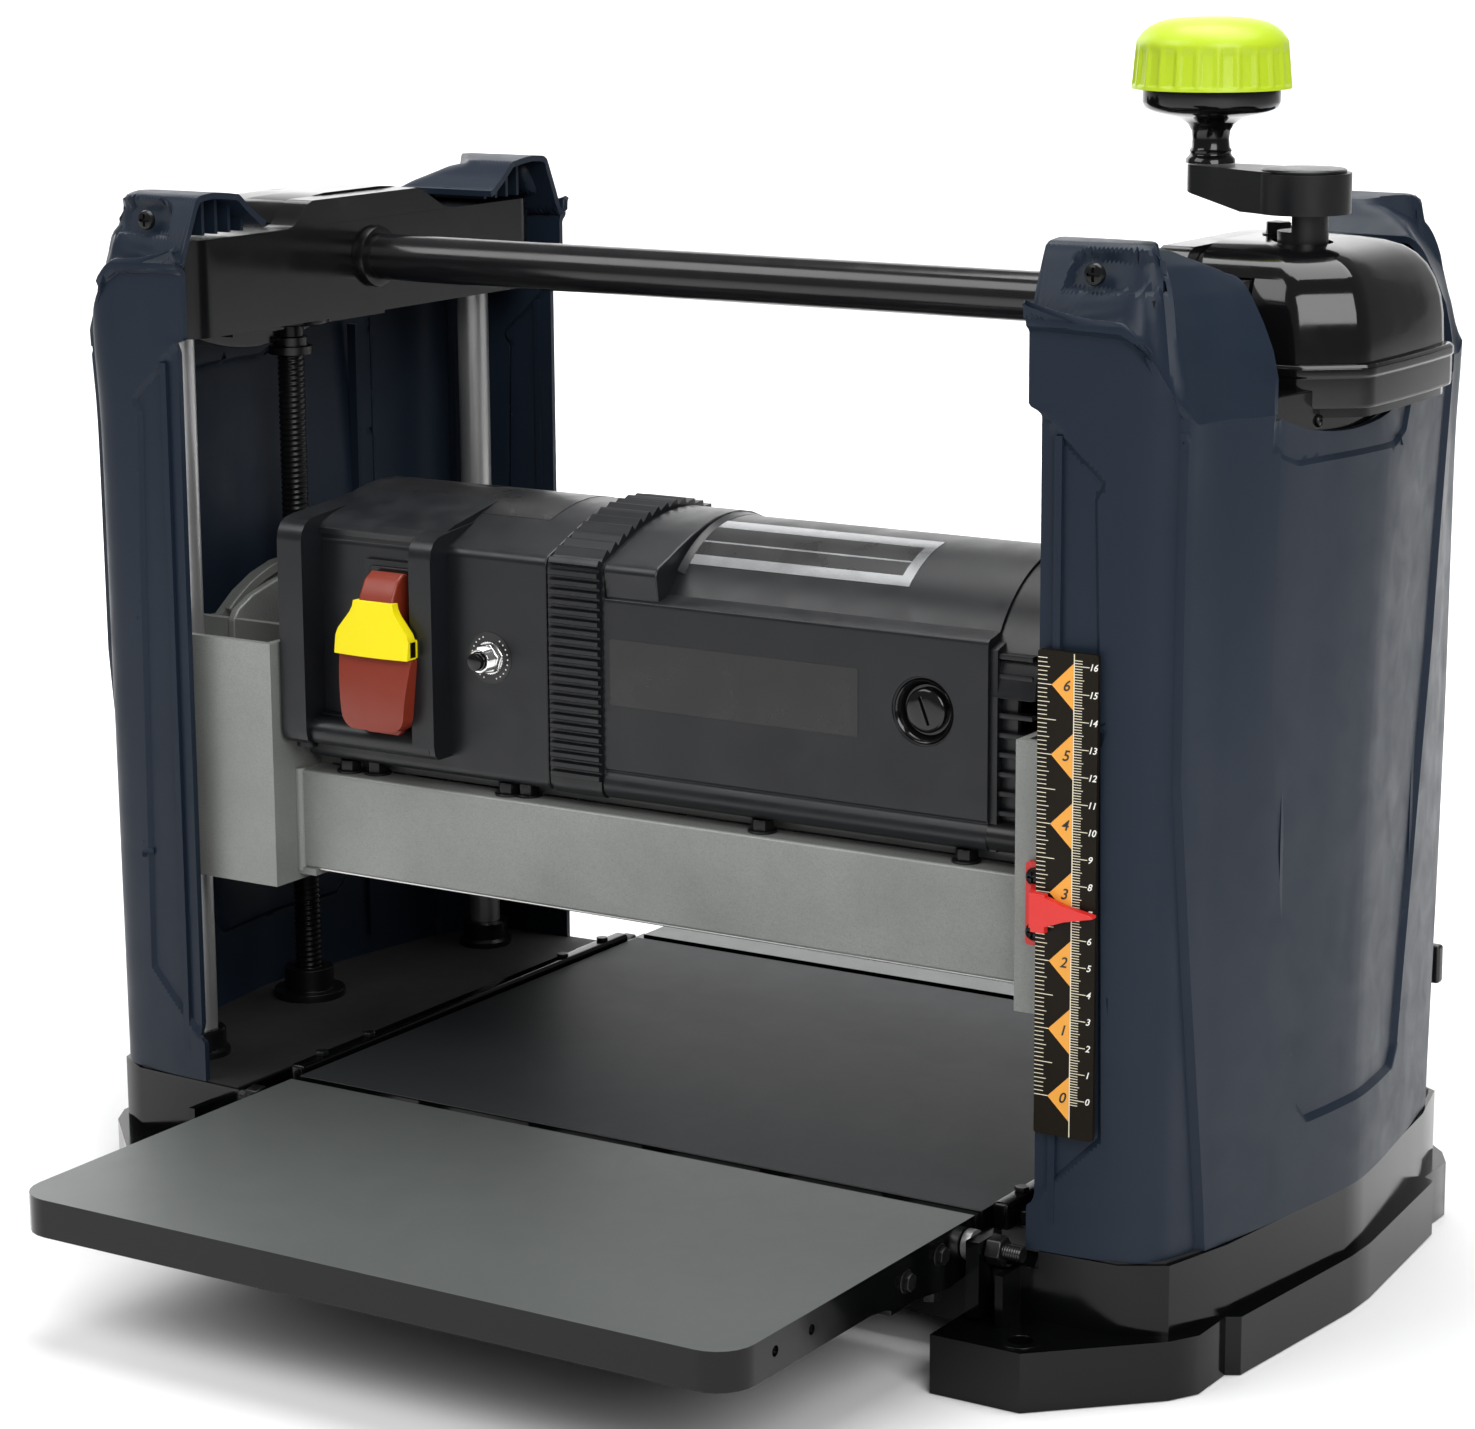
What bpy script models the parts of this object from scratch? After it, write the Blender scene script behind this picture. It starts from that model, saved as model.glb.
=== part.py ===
"""Benchtop thickness planer.

Metres, +Z up, infeed side towards -Y, origin on the floor midway between the posts.
"""

import math

import bmesh
import bpy
from mathutils import Matrix, Vector

GAP = 0.0003                    # between neighbouring solids
RUNNING_GAP = 0.0005            # around a shaft or a column that slides

# Worktable and extension tables
HEAD_X = 0.0105                 # the tables and the carriage sit this far right of the posts' middle
TABLE_WIDTH = 0.323
TABLE_TOP = 0.058
TABLE_THICKNESS = 0.012
TABLE_HALF_DEPTH = 0.1255
EXTENSION_NEAR = 0.131
EXTENSION_FAR = 0.299
EXTENSION_RIM = 0.015
EXTENSION_CORNER = 0.015
SHEET = 0.003
FOLD_AXIS_Y = 0.1375
FOLD_AXIS_Z = 0.049
FOLD_BOLT_RADIUS = 0.003

# Base
FOOT_HEIGHT = 0.0227
BLOCK_TOP = 0.050
FOOT_INNER_X = 0.1726
BLOCK_INNER_X = 0.176
FOOT_HOLE = (0.204, 0.154)
FOOT_HOLE_RADIUS = 0.0045

# Posts
COLUMN_X = 0.222
COLUMN_Y = 0.103
COLUMN_RADIUS = 0.007
SCREW_X = 0.239
SCREW_Y = -0.008
SCREW_RADIUS = 0.006
COVER_INNER_X = 0.1975
COVER_WALL = 0.0035
COVER_TOP = 0.418
BRACKET_INNER_X = 0.198
BRACKET_OUTER_X = 0.236
BRACKET_BOTTOM = 0.360
BRACKET_TOP = 0.400
BRACKET_HALF_DEPTH = 0.123
CAP_INNER_X = 0.2115
CAP_TOP = 0.4115
CAP_HALF_DEPTH = 0.053
WINDOW_BOTTOM = 0.350
WINDOW_HALF = 0.077
DIP_Y = -0.036
DIP_Z = 0.4263
DIP_RADIUS = 0.0848
HANDLE_Z = 0.3837
HANDLE_RADIUS = 0.0099

# Carriage: it carries the cutterhead, the feed rollers, the motor and the switch
OPENING = 0.073                 # under the cutterhead as the planer stands; it travels from 5 mm to 152 mm
CARRIAGE_LEFT = -0.162
CARRIAGE_RIGHT = 0.183
BEAM_FRONT = 0.1073
BEAM_BACK = 0.092
BEAM_BOTTOM = 0.142
BEAM_TOP = 0.1835
DECK_TOP = 0.1884
END_FRONT = 0.1227
END_BACK = 0.084
END_BOTTOM = 0.1365
END_TOP = 0.2385
CUTTER_RADIUS = 0.0245
CUTTER_Z = TABLE_TOP + OPENING + CUTTER_RADIUS
KNIFE_ANGLES = (("first", math.radians(60)), ("second", math.radians(240)))
SLOT_WIDTH = 0.0042
SLOT_DEPTH = 0.0150             # from the axis to the bottom of a knife's slot
ROLLER_RADIUS = 0.014
ROLLER_Y = 0.045
ROLLER_Z = TABLE_TOP + OPENING - 0.0008 + ROLLER_RADIUS
JOURNAL_RADIUS = 0.006

# Motor
MOTOR_Y = -0.050
MOTOR_Z = 0.241
BARREL_RADIUS = 0.055
HOUSING_FRONT = -0.105
HOUSING_BOTTOM = 0.189
HOUSING_TOP = 0.284
DRIVE_LEFT = -0.158
RING_LEFT = -0.035
RING_RIGHT = -0.010
MOTOR_RIGHT = 0.162
MOTOR_CAP_RIGHT = 0.1805
MOTOR_PULLEY_RADIUS = 0.015
CUTTER_PULLEY_RADIUS = 0.026
PULLEY_LEFT = -0.190
PULLEY_RIGHT = -0.176
BELT_THICKNESS = 0.003

# Switch and reset button
SWITCH_X = -0.110
PADDLE_PIVOT = (-0.104, 0.266)
PADDLE_FRONT = -0.124
RESET_X = -0.064
RESET_Z = 0.240

# Crank
CRANK_ARM = 0.0452
CRANK_ANGLE = math.radians(165.3)
KNOB_CAP_RADIUS = 0.030
KNOB_CAP_BOTTOM = 0.4653
KNOB_CAP_TOP = 0.4915
SPROCKET_RADIUS = 0.015
CHAIN_BOTTOM = 0.019
CHAIN_TOP = 0.027

COLOURS = {
    "cover_slate": ((0.075, 0.088, 0.108), 0.42, 0.0),
    "black_gloss": ((0.012, 0.012, 0.013), 0.18, 0.0),
    "black_satin": ((0.030, 0.031, 0.033), 0.38, 0.0),
    "housing_black": ((0.028, 0.030, 0.034), 0.50, 0.0),
    "cast_silver": ((0.44, 0.45, 0.43), 0.45, 0.6),
    "polished_steel": ((0.62, 0.62, 0.62), 0.20, 1.0),
    "dark_steel": ((0.08, 0.08, 0.08), 0.40, 1.0),
    "table_grey": ((0.085, 0.092, 0.092), 0.40, 0.3),
    "rubber_black": ((0.018, 0.018, 0.018), 0.75, 0.0),
    "switch_red": ((0.42, 0.045, 0.02), 0.45, 0.0),
    "key_yellow": ((0.85, 0.72, 0.01), 0.40, 0.0),
    "pointer_red": ((0.75, 0.02, 0.02), 0.35, 0.0),
    "knob_lime": ((0.52, 0.78, 0.02), 0.35, 0.0),
    "scale_black": ((0.03, 0.025, 0.02), 0.45, 0.0),
    "copper": ((0.55, 0.25, 0.12), 0.35, 1.0),
}


def clear_scene():
    for obj in list(bpy.data.objects):
        bpy.data.objects.remove(obj, do_unlink=True)


def finish_material(name):
    """The Principled material of that name, made on first use."""
    found = bpy.data.materials.get(name)
    if found:
        return found
    colour, roughness, metallic = COLOURS[name]
    made = bpy.data.materials.new(name)
    made.use_nodes = True
    shader = made.node_tree.nodes["Principled BSDF"]
    shader.inputs["Base Color"].default_value = (*colour, 1.0)
    shader.inputs["Roughness"].default_value = roughness
    shader.inputs["Metallic"].default_value = metallic
    return made


def object_from(bm, name):
    bmesh.ops.recalc_face_normals(bm, faces=bm.faces)
    mesh = bpy.data.meshes.new(name)
    bm.to_mesh(mesh)
    bm.free()
    obj = bpy.data.objects.new(name, mesh)
    bpy.context.scene.collection.objects.link(obj)
    return obj


def prism(outline, axis, low, high, name="shape"):
    """The outline, drawn in the plane across the axis (y z, x z or x y), extruded along it."""
    bm = bmesh.new()
    place = {
        "x": lambda a, b: (low, a, b),
        "y": lambda a, b: (a, low, b),
        "z": lambda a, b: (a, b, low),
    }[axis]
    face = bm.faces.new([bm.verts.new(place(a, b)) for a, b in outline])
    along = Vector([(high - low) * (axis == letter) for letter in "xyz"])
    grown = bmesh.ops.extrude_face_region(bm, geom=[face])
    moved = [item for item in grown["geom"] if isinstance(item, bmesh.types.BMVert)]
    bmesh.ops.translate(bm, verts=moved, vec=along)
    return object_from(bm, name)


def box(x_low, x_high, y_low, y_high, z_low, z_high, name="box"):
    outline = [(x_low, y_low), (x_high, y_low), (x_high, y_high), (x_low, y_high)]
    return prism(outline, "z", z_low, z_high, name)


def rod(axis, centre, radius, low, high, sides=32, name="rod"):
    """A cylinder along the axis; centre is its place across the axis (y z, x z or x y)."""
    turn = [2 * math.pi * (i + 0.5) / sides for i in range(sides)]
    outline = [(centre[0] + radius * math.cos(t), centre[1] + radius * math.sin(t)) for t in turn]
    return prism(outline, axis, low, high, name)


def turned(profile, centre, sides=40, name="turned"):
    """A solid turned about a vertical axis at centre (x, y), from (radius, height) points bottom to top."""
    bm = bmesh.new()
    rings = []
    for radius, height in profile:
        ring = []
        for i in range(sides):
            t = 2 * math.pi * i / sides
            place = (centre[0] + radius * math.cos(t), centre[1] + radius * math.sin(t), height)
            ring.append(bm.verts.new(place))
        rings.append(ring)
    bm.faces.new(rings[0])
    bm.faces.new(rings[-1])
    for lower, upper in zip(rings, rings[1:]):
        for i in range(sides):
            j = (i + 1) % sides
            bm.faces.new((lower[i], lower[j], upper[j], upper[i]))
    return object_from(bm, name)


def mirrored(points):
    """The outline continued by its own mirror image in the second coordinate."""
    return list(points) + [(a, -b) for a, b in reversed(points)]


def flipped(outline, side):
    """The outline on the right (side 1) or its mirror image on the left (side -1)."""
    return [(side * a, b) for a, b in outline]


def arc(centre, radius, start, end, steps):
    """Points on an arc, angles in degrees."""
    angles = [math.radians(start + (end - start) * i / steps) for i in range(steps + 1)]
    return [(centre[0] + radius * math.cos(t), centre[1] + radius * math.sin(t)) for t in angles]


def span(side, near, far):
    """Low and high x of a piece between two distances from the middle, on the right (1) or left (-1)."""
    return sorted((side * near, side * far))


def helper(obj):
    obj.hide_render = True
    obj.display_type = "WIRE"
    return obj


def finished(name, finish, base, joined=(), cut=(), origin=None):
    """Makes base the named sub-part: joined shapes added, cut shapes taken away, and its origin moved."""
    base.name = name
    base.data.name = name
    base.data.materials.append(finish_material(finish))
    if origin is not None:
        base.data.transform(Matrix.Translation(-Vector(origin)))
        base.location = origin
    for operation, others in (("UNION", joined), ("DIFFERENCE", cut)):
        for number, other in enumerate(others):
            helper(other).name = f"{name}_{operation.lower()}_{number}"
            modifier = base.modifiers.new(f"{operation.lower()} {number}", "BOOLEAN")
            modifier.operation = operation
            modifier.solver = "EXACT"
            modifier.object = other
    base.data.shade_smooth()
    base.data.set_sharp_from_angle(angle=math.radians(35))
    return base


# ---------------------------------------------------------------- base

def foot_outline():
    """Right foot flange, seen from above."""
    return mirrored(
        [
            (FOOT_INNER_X, -0.1655),
            (0.210, -0.1655),
            (0.2505, -0.1266),
            (0.257, -0.115),
            (0.257, -0.093),
            (0.262, -0.090),
            (0.270, -0.009),
        ]
    )


def block_outline():
    """The block on each foot that its post stands on."""
    return mirrored(
        [(BLOCK_INNER_X, -0.1345), (0.232, -0.132), (0.248, -0.1225), (0.256, -0.091), (0.2665, -0.009)]
    )


def make_base():
    base = prism(foot_outline(), "z", 0.0, FOOT_HEIGHT)
    joined = [
        prism(block_outline(), "z", 0.010, BLOCK_TOP),
        prism(flipped(foot_outline(), -1), "z", 0.0, FOOT_HEIGHT),
        prism(flipped(block_outline(), -1), "z", 0.010, BLOCK_TOP),
        box(-0.1785, 0.1785, -0.1235, 0.1235, 0.012, TABLE_TOP - TABLE_THICKNESS - GAP),
    ]
    cut = [box(-0.168, 0.168, -0.112, 0.112, -0.01, 0.037)]
    for side in (1, -1):
        x_low, x_high = span(side, 0.180, 0.247)
        cut.append(box(x_low, x_high, -0.090, 0.090, -0.01, 0.044))
        cut.append(rod("z", (side * SCREW_X, SCREW_Y), 0.0215, -0.01, 0.044))
        cut.append(rod("z", (side * SCREW_X, SCREW_Y), SCREW_RADIUS + RUNNING_GAP, 0.030, 0.060, 20))
        for end in (1, -1):
            place = (side * FOOT_HOLE[0], end * FOOT_HOLE[1])
            cut.append(rod("z", place, FOOT_HOLE_RADIUS, -0.01, 0.03, 16))
            joined.append(fold_lug(side, end))
            hinge = (end * FOLD_AXIS_Y, FOLD_AXIS_Z)
            cut.append(rod("x", hinge, FOLD_BOLT_RADIUS + GAP, *lug_hole(side), 12))
    for end in (1, -1):
        cut.append(rod("x", (end * FOLD_AXIS_Y, FOLD_AXIS_Z), 0.0072, lug_x(1)[1], 0.200, 16))
    cut.append(box(-0.185, 0.185, -0.031, 0.015, 0.014, 0.033))
    finished("base_casting", "black_gloss", base, joined, cut)


def lug_x(side):
    """Low and high x of a fold lug: at the post on the right, at the table's edge on the left."""
    return (0.1765, 0.182) if side > 0 else (-0.161, -0.1555)


def lug_hole(side):
    low, high = lug_x(side)
    return low - 0.005, high + 0.005


def fold_lug(side, end):
    """A lug of the base that an extension table's bolt passes through."""
    low, high = lug_x(side)
    outline = [
        (end * 0.110, 0.024),
        (end * 0.146, 0.024),
        (end * 0.146, 0.0535),
        (end * 0.1285, 0.0535),
        (end * 0.1285, 0.0445),
        (end * 0.110, 0.0445),
    ]
    return prism(outline, "x", low, high)


def table_edges():
    return HEAD_X - TABLE_WIDTH / 2, HEAD_X + TABLE_WIDTH / 2


def make_main_table():
    left, right = table_edges()
    low = TABLE_TOP - TABLE_THICKNESS
    plate = box(left, right, -TABLE_HALF_DEPTH, TABLE_HALF_DEPTH, low, TABLE_TOP)
    finished("main_table", "table_grey", plate)


def extension_outline(left, right, near, far, radius, end):
    """Seen from above: square at the hinge, round at the outer corners."""
    outer = arc((right - radius, far - radius), radius, 0, 90, 6)
    outer += arc((left + radius, far - radius), radius, 90, 180, 6)
    return [(x, end * y) for x, y in [(right, near)] + outer + [(left, near)]]


def make_extension(name, end):
    """A folding table: a sheet with a rim below it, and a deeper flange at each side near the hinge."""
    left, right = table_edges()
    low = TABLE_TOP - EXTENSION_RIM
    outline = extension_outline(left, right, EXTENSION_NEAR, EXTENSION_FAR, EXTENSION_CORNER, end)
    plate = prism(outline, "z", low, TABLE_TOP)
    joined = []
    for x in (left, right - SHEET):
        flange = [
            (end * (EXTENSION_NEAR + 0.0002), 0.037),
            (end * 0.150, 0.0355),
            (end * 0.215, low + 0.001),
            (end * 0.215, low + 0.004),
            (end * (EXTENSION_NEAR + 0.0002), low + 0.004),
        ]
        joined.append(prism(flange, "x", x, x + SHEET))
    outline = extension_outline(
        left + SHEET,
        right - SHEET,
        EXTENSION_NEAR - 0.01,
        EXTENSION_FAR - SHEET,
        EXTENSION_CORNER - SHEET,
        end,
    )
    hollow = prism(outline, "z", 0.0, TABLE_TOP - SHEET)
    hole = rod(
        "x", (end * FOLD_AXIS_Y, FOLD_AXIS_Z), FOLD_BOLT_RADIUS + GAP, left - 0.01, right + 0.01, 12
    )
    finished(name, "table_grey", plate, joined, [hollow, hole], (HEAD_X, end * FOLD_AXIS_Y, FOLD_AXIS_Z))


def make_fold_bolt(name, side, end):
    """The bolt that a table folds on, with its head inside the table's flange and its nut outside the lug."""
    left, right = table_edges()
    centre = (end * FOLD_AXIS_Y, FOLD_AXIS_Z)
    if side > 0:
        head, tip, nut = right - SHEET - 0.0045, 0.196, (lug_x(side)[1] + GAP, lug_x(side)[1] + 0.0065)
        shank = rod("x", centre, FOLD_BOLT_RADIUS, head, tip, 12)
        ends = [rod("x", centre, 0.0052, head, right - SHEET - GAP, 6)]
    else:
        head, tip, nut = left + SHEET + 0.0045, -0.172, (lug_x(side)[0] - 0.0065, lug_x(side)[0] - GAP)
        shank = rod("x", centre, FOLD_BOLT_RADIUS, tip, head, 12)
        ends = [rod("x", centre, 0.0052, left + SHEET + GAP, head, 6)]
    ends.append(rod("x", centre, 0.0060, *nut, 6))
    finished(name, "dark_steel", shank, ends)


def make_fold_bolts():
    for end, table in ((-1, "infeed"), (1, "outfeed")):
        for side, word in ((1, "right"), (-1, "left")):
            make_fold_bolt(f"{table}_fold_bolt_{word}", side, end)


# ---------------------------------------------------------------- posts

def make_columns():
    for side, word in ((1, "right"), (-1, "left")):
        for end, place in ((-1, "front"), (1, "rear")):
            column = rod(
                "z",
                (side * COLUMN_X, end * COLUMN_Y),
                COLUMN_RADIUS,
                BLOCK_TOP + GAP,
                BRACKET_BOTTOM - GAP,
                24,
            )
            finished(f"{place}_{word}_column", "polished_steel", column)


def make_screw_bearing(name, side):
    """A flanged bearing that the foot of a lifting screw turns in."""
    centre = (side * SCREW_X, SCREW_Y)
    foot = rod("z", centre, 0.0160, BLOCK_TOP + GAP, BLOCK_TOP + 0.004, 24)
    collar = rod("z", centre, 0.0110, BLOCK_TOP + 0.002, BLOCK_TOP + 0.014, 24)
    hole = rod("z", centre, SCREW_RADIUS + RUNNING_GAP, BLOCK_TOP - 0.01, BLOCK_TOP + 0.03, 24)
    finished(name, "dark_steel", foot, [collar], [hole])


def bracket_outline():
    """Seen from above, right side: square outside, round where it meets the inner face."""
    radius = 0.016
    depth = BRACKET_HALF_DEPTH
    front = arc((BRACKET_INNER_X + radius, -depth + radius), radius, 180, 270, 5)
    return mirrored(front + [(BRACKET_OUTER_X, -depth)])


def make_top_bracket(name, side):
    beam = prism(flipped(bracket_outline(), side), "z", BRACKET_BOTTOM, BRACKET_TOP)
    hump = [
        (-0.058, BRACKET_TOP - 0.005),
        (-0.058, BRACKET_TOP),
        (-0.050, BRACKET_TOP + 0.0035),
        (-0.042, CAP_TOP - 0.001),
        (0.034, CAP_TOP - 0.001),
        (0.053, BRACKET_TOP),
        (0.053, BRACKET_TOP - 0.005),
    ]
    low, high = span(side, BRACKET_INNER_X + 0.0002, CAP_INNER_X - GAP)
    boss = rod("z", (side * SCREW_X, SCREW_Y), 0.020, BRACKET_BOTTOM + 0.002, BRACKET_BOTTOM + 0.018)
    hole = rod("z", (side * SCREW_X, SCREW_Y), SCREW_RADIUS + RUNNING_GAP, 0.300, 0.450, 20)
    finished(name, "black_satin", beam, [prism(hump, "x", low, high), boss], [hole])


def cover_outline(inset):
    """Right post cover from above: its front, its side and its rear as one line, moved inwards by inset."""
    front = [
        (COVER_INNER_X, -0.1345 + inset),
        (0.2315 - 0.2 * inset, -0.1310 + inset),
        (0.2460 - 0.7 * inset, -0.1220 + 0.7 * inset),
        (0.2550 - inset, -0.0900 + 0.2 * inset),
        (0.2625 - inset, -0.0450),
        (0.2670 - inset, -0.0150),
    ]
    return mirrored(front)


def window_outline():
    """The opening in a cover's side that a top cap fills, with the dip below it (y z)."""
    half = WINDOW_HALF
    dip = arc((DIP_Y, DIP_Z), DIP_RADIUS, 244.1, 295.9, 8)
    return [(-half, WINDOW_BOTTOM)] + dip + [(half, WINDOW_BOTTOM), (half, 0.450), (-half, 0.450)]


def ear_outline():
    """The closed head of a cover above its bracket, seen from the side (y z)."""
    return [
        (-0.1300, 0.4022),
        (-0.1300, 0.4060),
        (-0.1230, 0.4165),
        (-0.1150, COVER_TOP),
        (-0.0900, 0.4165),
        (-0.0800, 0.4100),
        (-0.0790, 0.4022),
    ]


def make_post_cover(name, side):
    outer, inner = cover_outline(0.0), cover_outline(COVER_WALL)
    ring = flipped(outer + inner[::-1], side)
    shell = prism(ring, "z", BLOCK_TOP + GAP, COVER_TOP - 0.0005)
    joined, cut = [], []
    for end in (1, -1):
        low, high = span(side, COVER_INNER_X + 0.0015, 0.2440)
        ear = [(-end * y, z) for y, z in ear_outline()]
        joined.append(prism(ear, "x", low, high))
        low, high = span(side, 0.190, COVER_INNER_X + 0.004)
        y_low, y_high = sorted((end * 0.120, end * 0.150))
        cut.append(box(low, high, y_low, y_high, 0.040, 0.352))
    low, high = span(side, 0.190, 0.300)
    cut.append(prism(window_outline(), "x", low, high))
    slope = [
        (0.2685, 0.3540),
        (0.2615, 0.3760),
        (0.2490, 0.3980),
        (0.2320, 0.4220),
        (0.3000, 0.4220),
        (0.3000, 0.3540),
    ]
    cut.append(prism(flipped(slope, side), "y", -0.2, 0.2))
    for end in (1, -1):
        lean = [
            (end * 0.1365, 0.3880),
            (end * 0.1280, 0.4120),
            (end * 0.1210, 0.4230),
            (end * 0.1500, 0.4230),
            (end * 0.1500, 0.3880),
        ]
        low, high = span(side, 0.180, 0.300)
        cut.append(prism(lean, "x", low, high))
    finished(name, "cover_slate", shell, joined, cut)


def about_screw(points):
    """Points given from the screw's place in y, then the same points mirrored past it."""
    near = [(x, SCREW_Y + y) for x, y in points]
    return near + [(x, SCREW_Y - y) for x, y in reversed(points)]


def cap_plan():
    half = CAP_HALF_DEPTH
    return about_screw([(CAP_INNER_X, -half), (0.2545, -half), (0.2722, -half + 0.0130), (0.2745, 0.0)])


def band_plan(inset):
    """The line of the band from above, moved inwards by inset."""
    half = CAP_HALF_DEPTH + 0.0035 - inset
    return about_screw(
        [
            (0.2480, -half),
            (0.2562 - 0.5 * inset, -half),
            (0.2757 - inset, -half + 0.0147 - 0.5 * inset),
            (0.2780 - inset, 0.0),
        ]
    )


def cap_shapes(side):
    """Base, joined and cut shapes of the cover over the top of a post."""
    shell = prism(flipped(cap_plan(), side), "z", WINDOW_BOTTOM + 0.0015, CAP_TOP)
    low, high = span(side, 0.2525, 0.2700)
    lip = prism(arc((DIP_Y, DIP_Z), DIP_RADIUS - 0.001, 245, 295, 8), "x", low, high)
    low, high = span(side, 0.2580, 0.2655)
    neck = box(low, high, -0.0520, -0.0130, 0.3460, 0.3580)
    beyond = [
        (0.2562, -0.0900),
        (0.2637, -0.0450),
        (0.2682, -0.0150),
        (0.2682, 0.0200),
        (0.3000, 0.0200),
        (0.3000, -0.0900),
    ]
    lip_face = prism(flipped(beyond, side), "z", 0.330, WINDOW_BOTTOM + 0.0014)
    wall = 0.0120
    low, high = span(side, 0.200, 0.2610)
    near, far = SCREW_Y - CAP_HALF_DEPTH + wall, SCREW_Y + CAP_HALF_DEPTH - wall
    hollow = box(low, high, near, far, WINDOW_BOTTOM + 0.0013, CAP_TOP - 0.0085)
    low, high = span(side, 0.190, BRACKET_OUTER_X + 0.0008)
    notch = box(low, high, -0.200, 0.200, 0.300, BRACKET_TOP + 0.0006)
    cut = [hollow, notch, lip_face]
    fall = [(0.0000, 0.3720), (0.0014, 0.3890), (0.0060, 0.4005), (0.0140, 0.4076), (0.0280, 0.4108)]
    round_edge = [(0.2746 - inset, z) for inset, z in fall]
    outside = [(0.2366, CAP_TOP + 0.0005), (0.2900, CAP_TOP + 0.0005), (0.2900, 0.3720)]
    cut.append(prism(flipped(round_edge + outside, side), "y", -0.2, 0.2))
    low, high = span(side, 0.190, 0.300)
    for end in (-1, 1):
        face = SCREW_Y + end * (CAP_HALF_DEPTH + 0.0001)
        round_end = [(face - end * inset, z) for inset, z in fall]
        outside = [(face - end * 0.038, CAP_TOP + 0.0005), (face + end * 0.02, CAP_TOP + 0.0005)]
        cut.append(prism(round_end + outside + [(face + end * 0.02, 0.3720)], "x", low, high))
    return shell, [lip, neck], cut


def make_band(side):
    """The raised band round the outside of a cap."""
    ring = flipped(band_plan(0.0) + band_plan(0.0035)[::-1], side)
    return prism(ring, "z", WINDOW_BOTTOM + 0.001, WINDOW_BOTTOM + 0.0165)


def make_caps():
    shell, joined, cut = cap_shapes(1)
    cut.append(rod("z", (SCREW_X, SCREW_Y), 0.0102, 0.390, 0.430, 24))
    groove = flipped(band_plan(-0.010) + band_plan(0.0038)[::-1], 1)
    cut.append(prism(groove, "z", WINDOW_BOTTOM + 0.0007, WINDOW_BOTTOM + 0.0168))
    finished("gear_cover", "black_gloss", shell, joined, cut)
    finished("gear_cover_band", "black_satin", make_band(1))
    shell, joined, cut = cap_shapes(-1)
    ring = flipped(band_plan(0.0) + band_plan(0.0045)[::-1], -1)
    lip = prism(ring, "z", WINDOW_BOTTOM + 0.0018, WINDOW_BOTTOM + 0.0165)
    finished("left_top_cap", "black_gloss", shell, joined + [lip], cut)


def make_handle_tube():
    half = BRACKET_INNER_X - GAP
    finished("handle_tube", "black_gloss", rod("x", (0.0, HANDLE_Z), HANDLE_RADIUS, -half, half, 24))


def make_depth_scale():
    """The scale plate on the front of the right post cover, which slopes back a little to the outside."""
    slope = (0.1345 - 0.1310) / (0.2315 - COVER_INNER_X)

    def front(x, out):
        return -0.1345 + slope * (x - COVER_INNER_X) - out

    low, high = 0.1985, 0.2240
    outline = [
        (low, front(low, GAP)),
        (high, front(high, GAP)),
        (high, front(high, 0.0013)),
        (low, front(low, 0.0013)),
    ]
    finished("depth_scale", "scale_black", prism(outline, "z", 0.096, 0.276))


def make_tool_clip():
    clip = box(0.212, 0.232, 0.1350, 0.1470, 0.092, 0.112)
    slot = box(0.205, 0.240, 0.1385, 0.1430, 0.086, 0.107)
    finished("rear_tool_clip", "cover_slate", clip, [], [slot])


# ---------------------------------------------------------------- lifting screws, chain and crank

def make_screw(name, side, top):
    screw = rod("z", (side * SCREW_X, SCREW_Y), SCREW_RADIUS, 0.012, top, 20)
    finished(name, "dark_steel", screw, origin=(side * SCREW_X, SCREW_Y, BLOCK_TOP))


def make_sprocket(name, side):
    centre = (side * SCREW_X, SCREW_Y)
    disc = rod("z", centre, SPROCKET_RADIUS, CHAIN_BOTTOM, CHAIN_TOP, 28)
    hole = rod("z", centre, SCREW_RADIUS + GAP, 0.010, 0.035, 20)
    finished(name, "dark_steel", disc, [], [hole], (*centre, CHAIN_BOTTOM))


def loop_outline(radius):
    """A chain or belt line round the two sprockets, that far from their axes."""
    right = arc((SCREW_X, SCREW_Y), radius, -90, 90, 12)
    left = arc((-SCREW_X, SCREW_Y), radius, 90, 270, 12)
    return right + left


def make_chain():
    loop = prism(loop_outline(SPROCKET_RADIUS + 0.0045), "z", CHAIN_BOTTOM + 0.001, CHAIN_TOP - 0.001)
    inside = prism(loop_outline(SPROCKET_RADIUS + 0.0005), "z", CHAIN_BOTTOM - 0.01, CHAIN_TOP + 0.01)
    finished("lift_chain", "dark_steel", loop, [], [inside])


def crank_point(distance, across=0.0):
    """A point that far along the crank arm and that far to its left."""
    c, s = math.cos(CRANK_ANGLE), math.sin(CRANK_ANGLE)
    return SCREW_X + distance * c - across * s, SCREW_Y + distance * s + across * c


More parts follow.
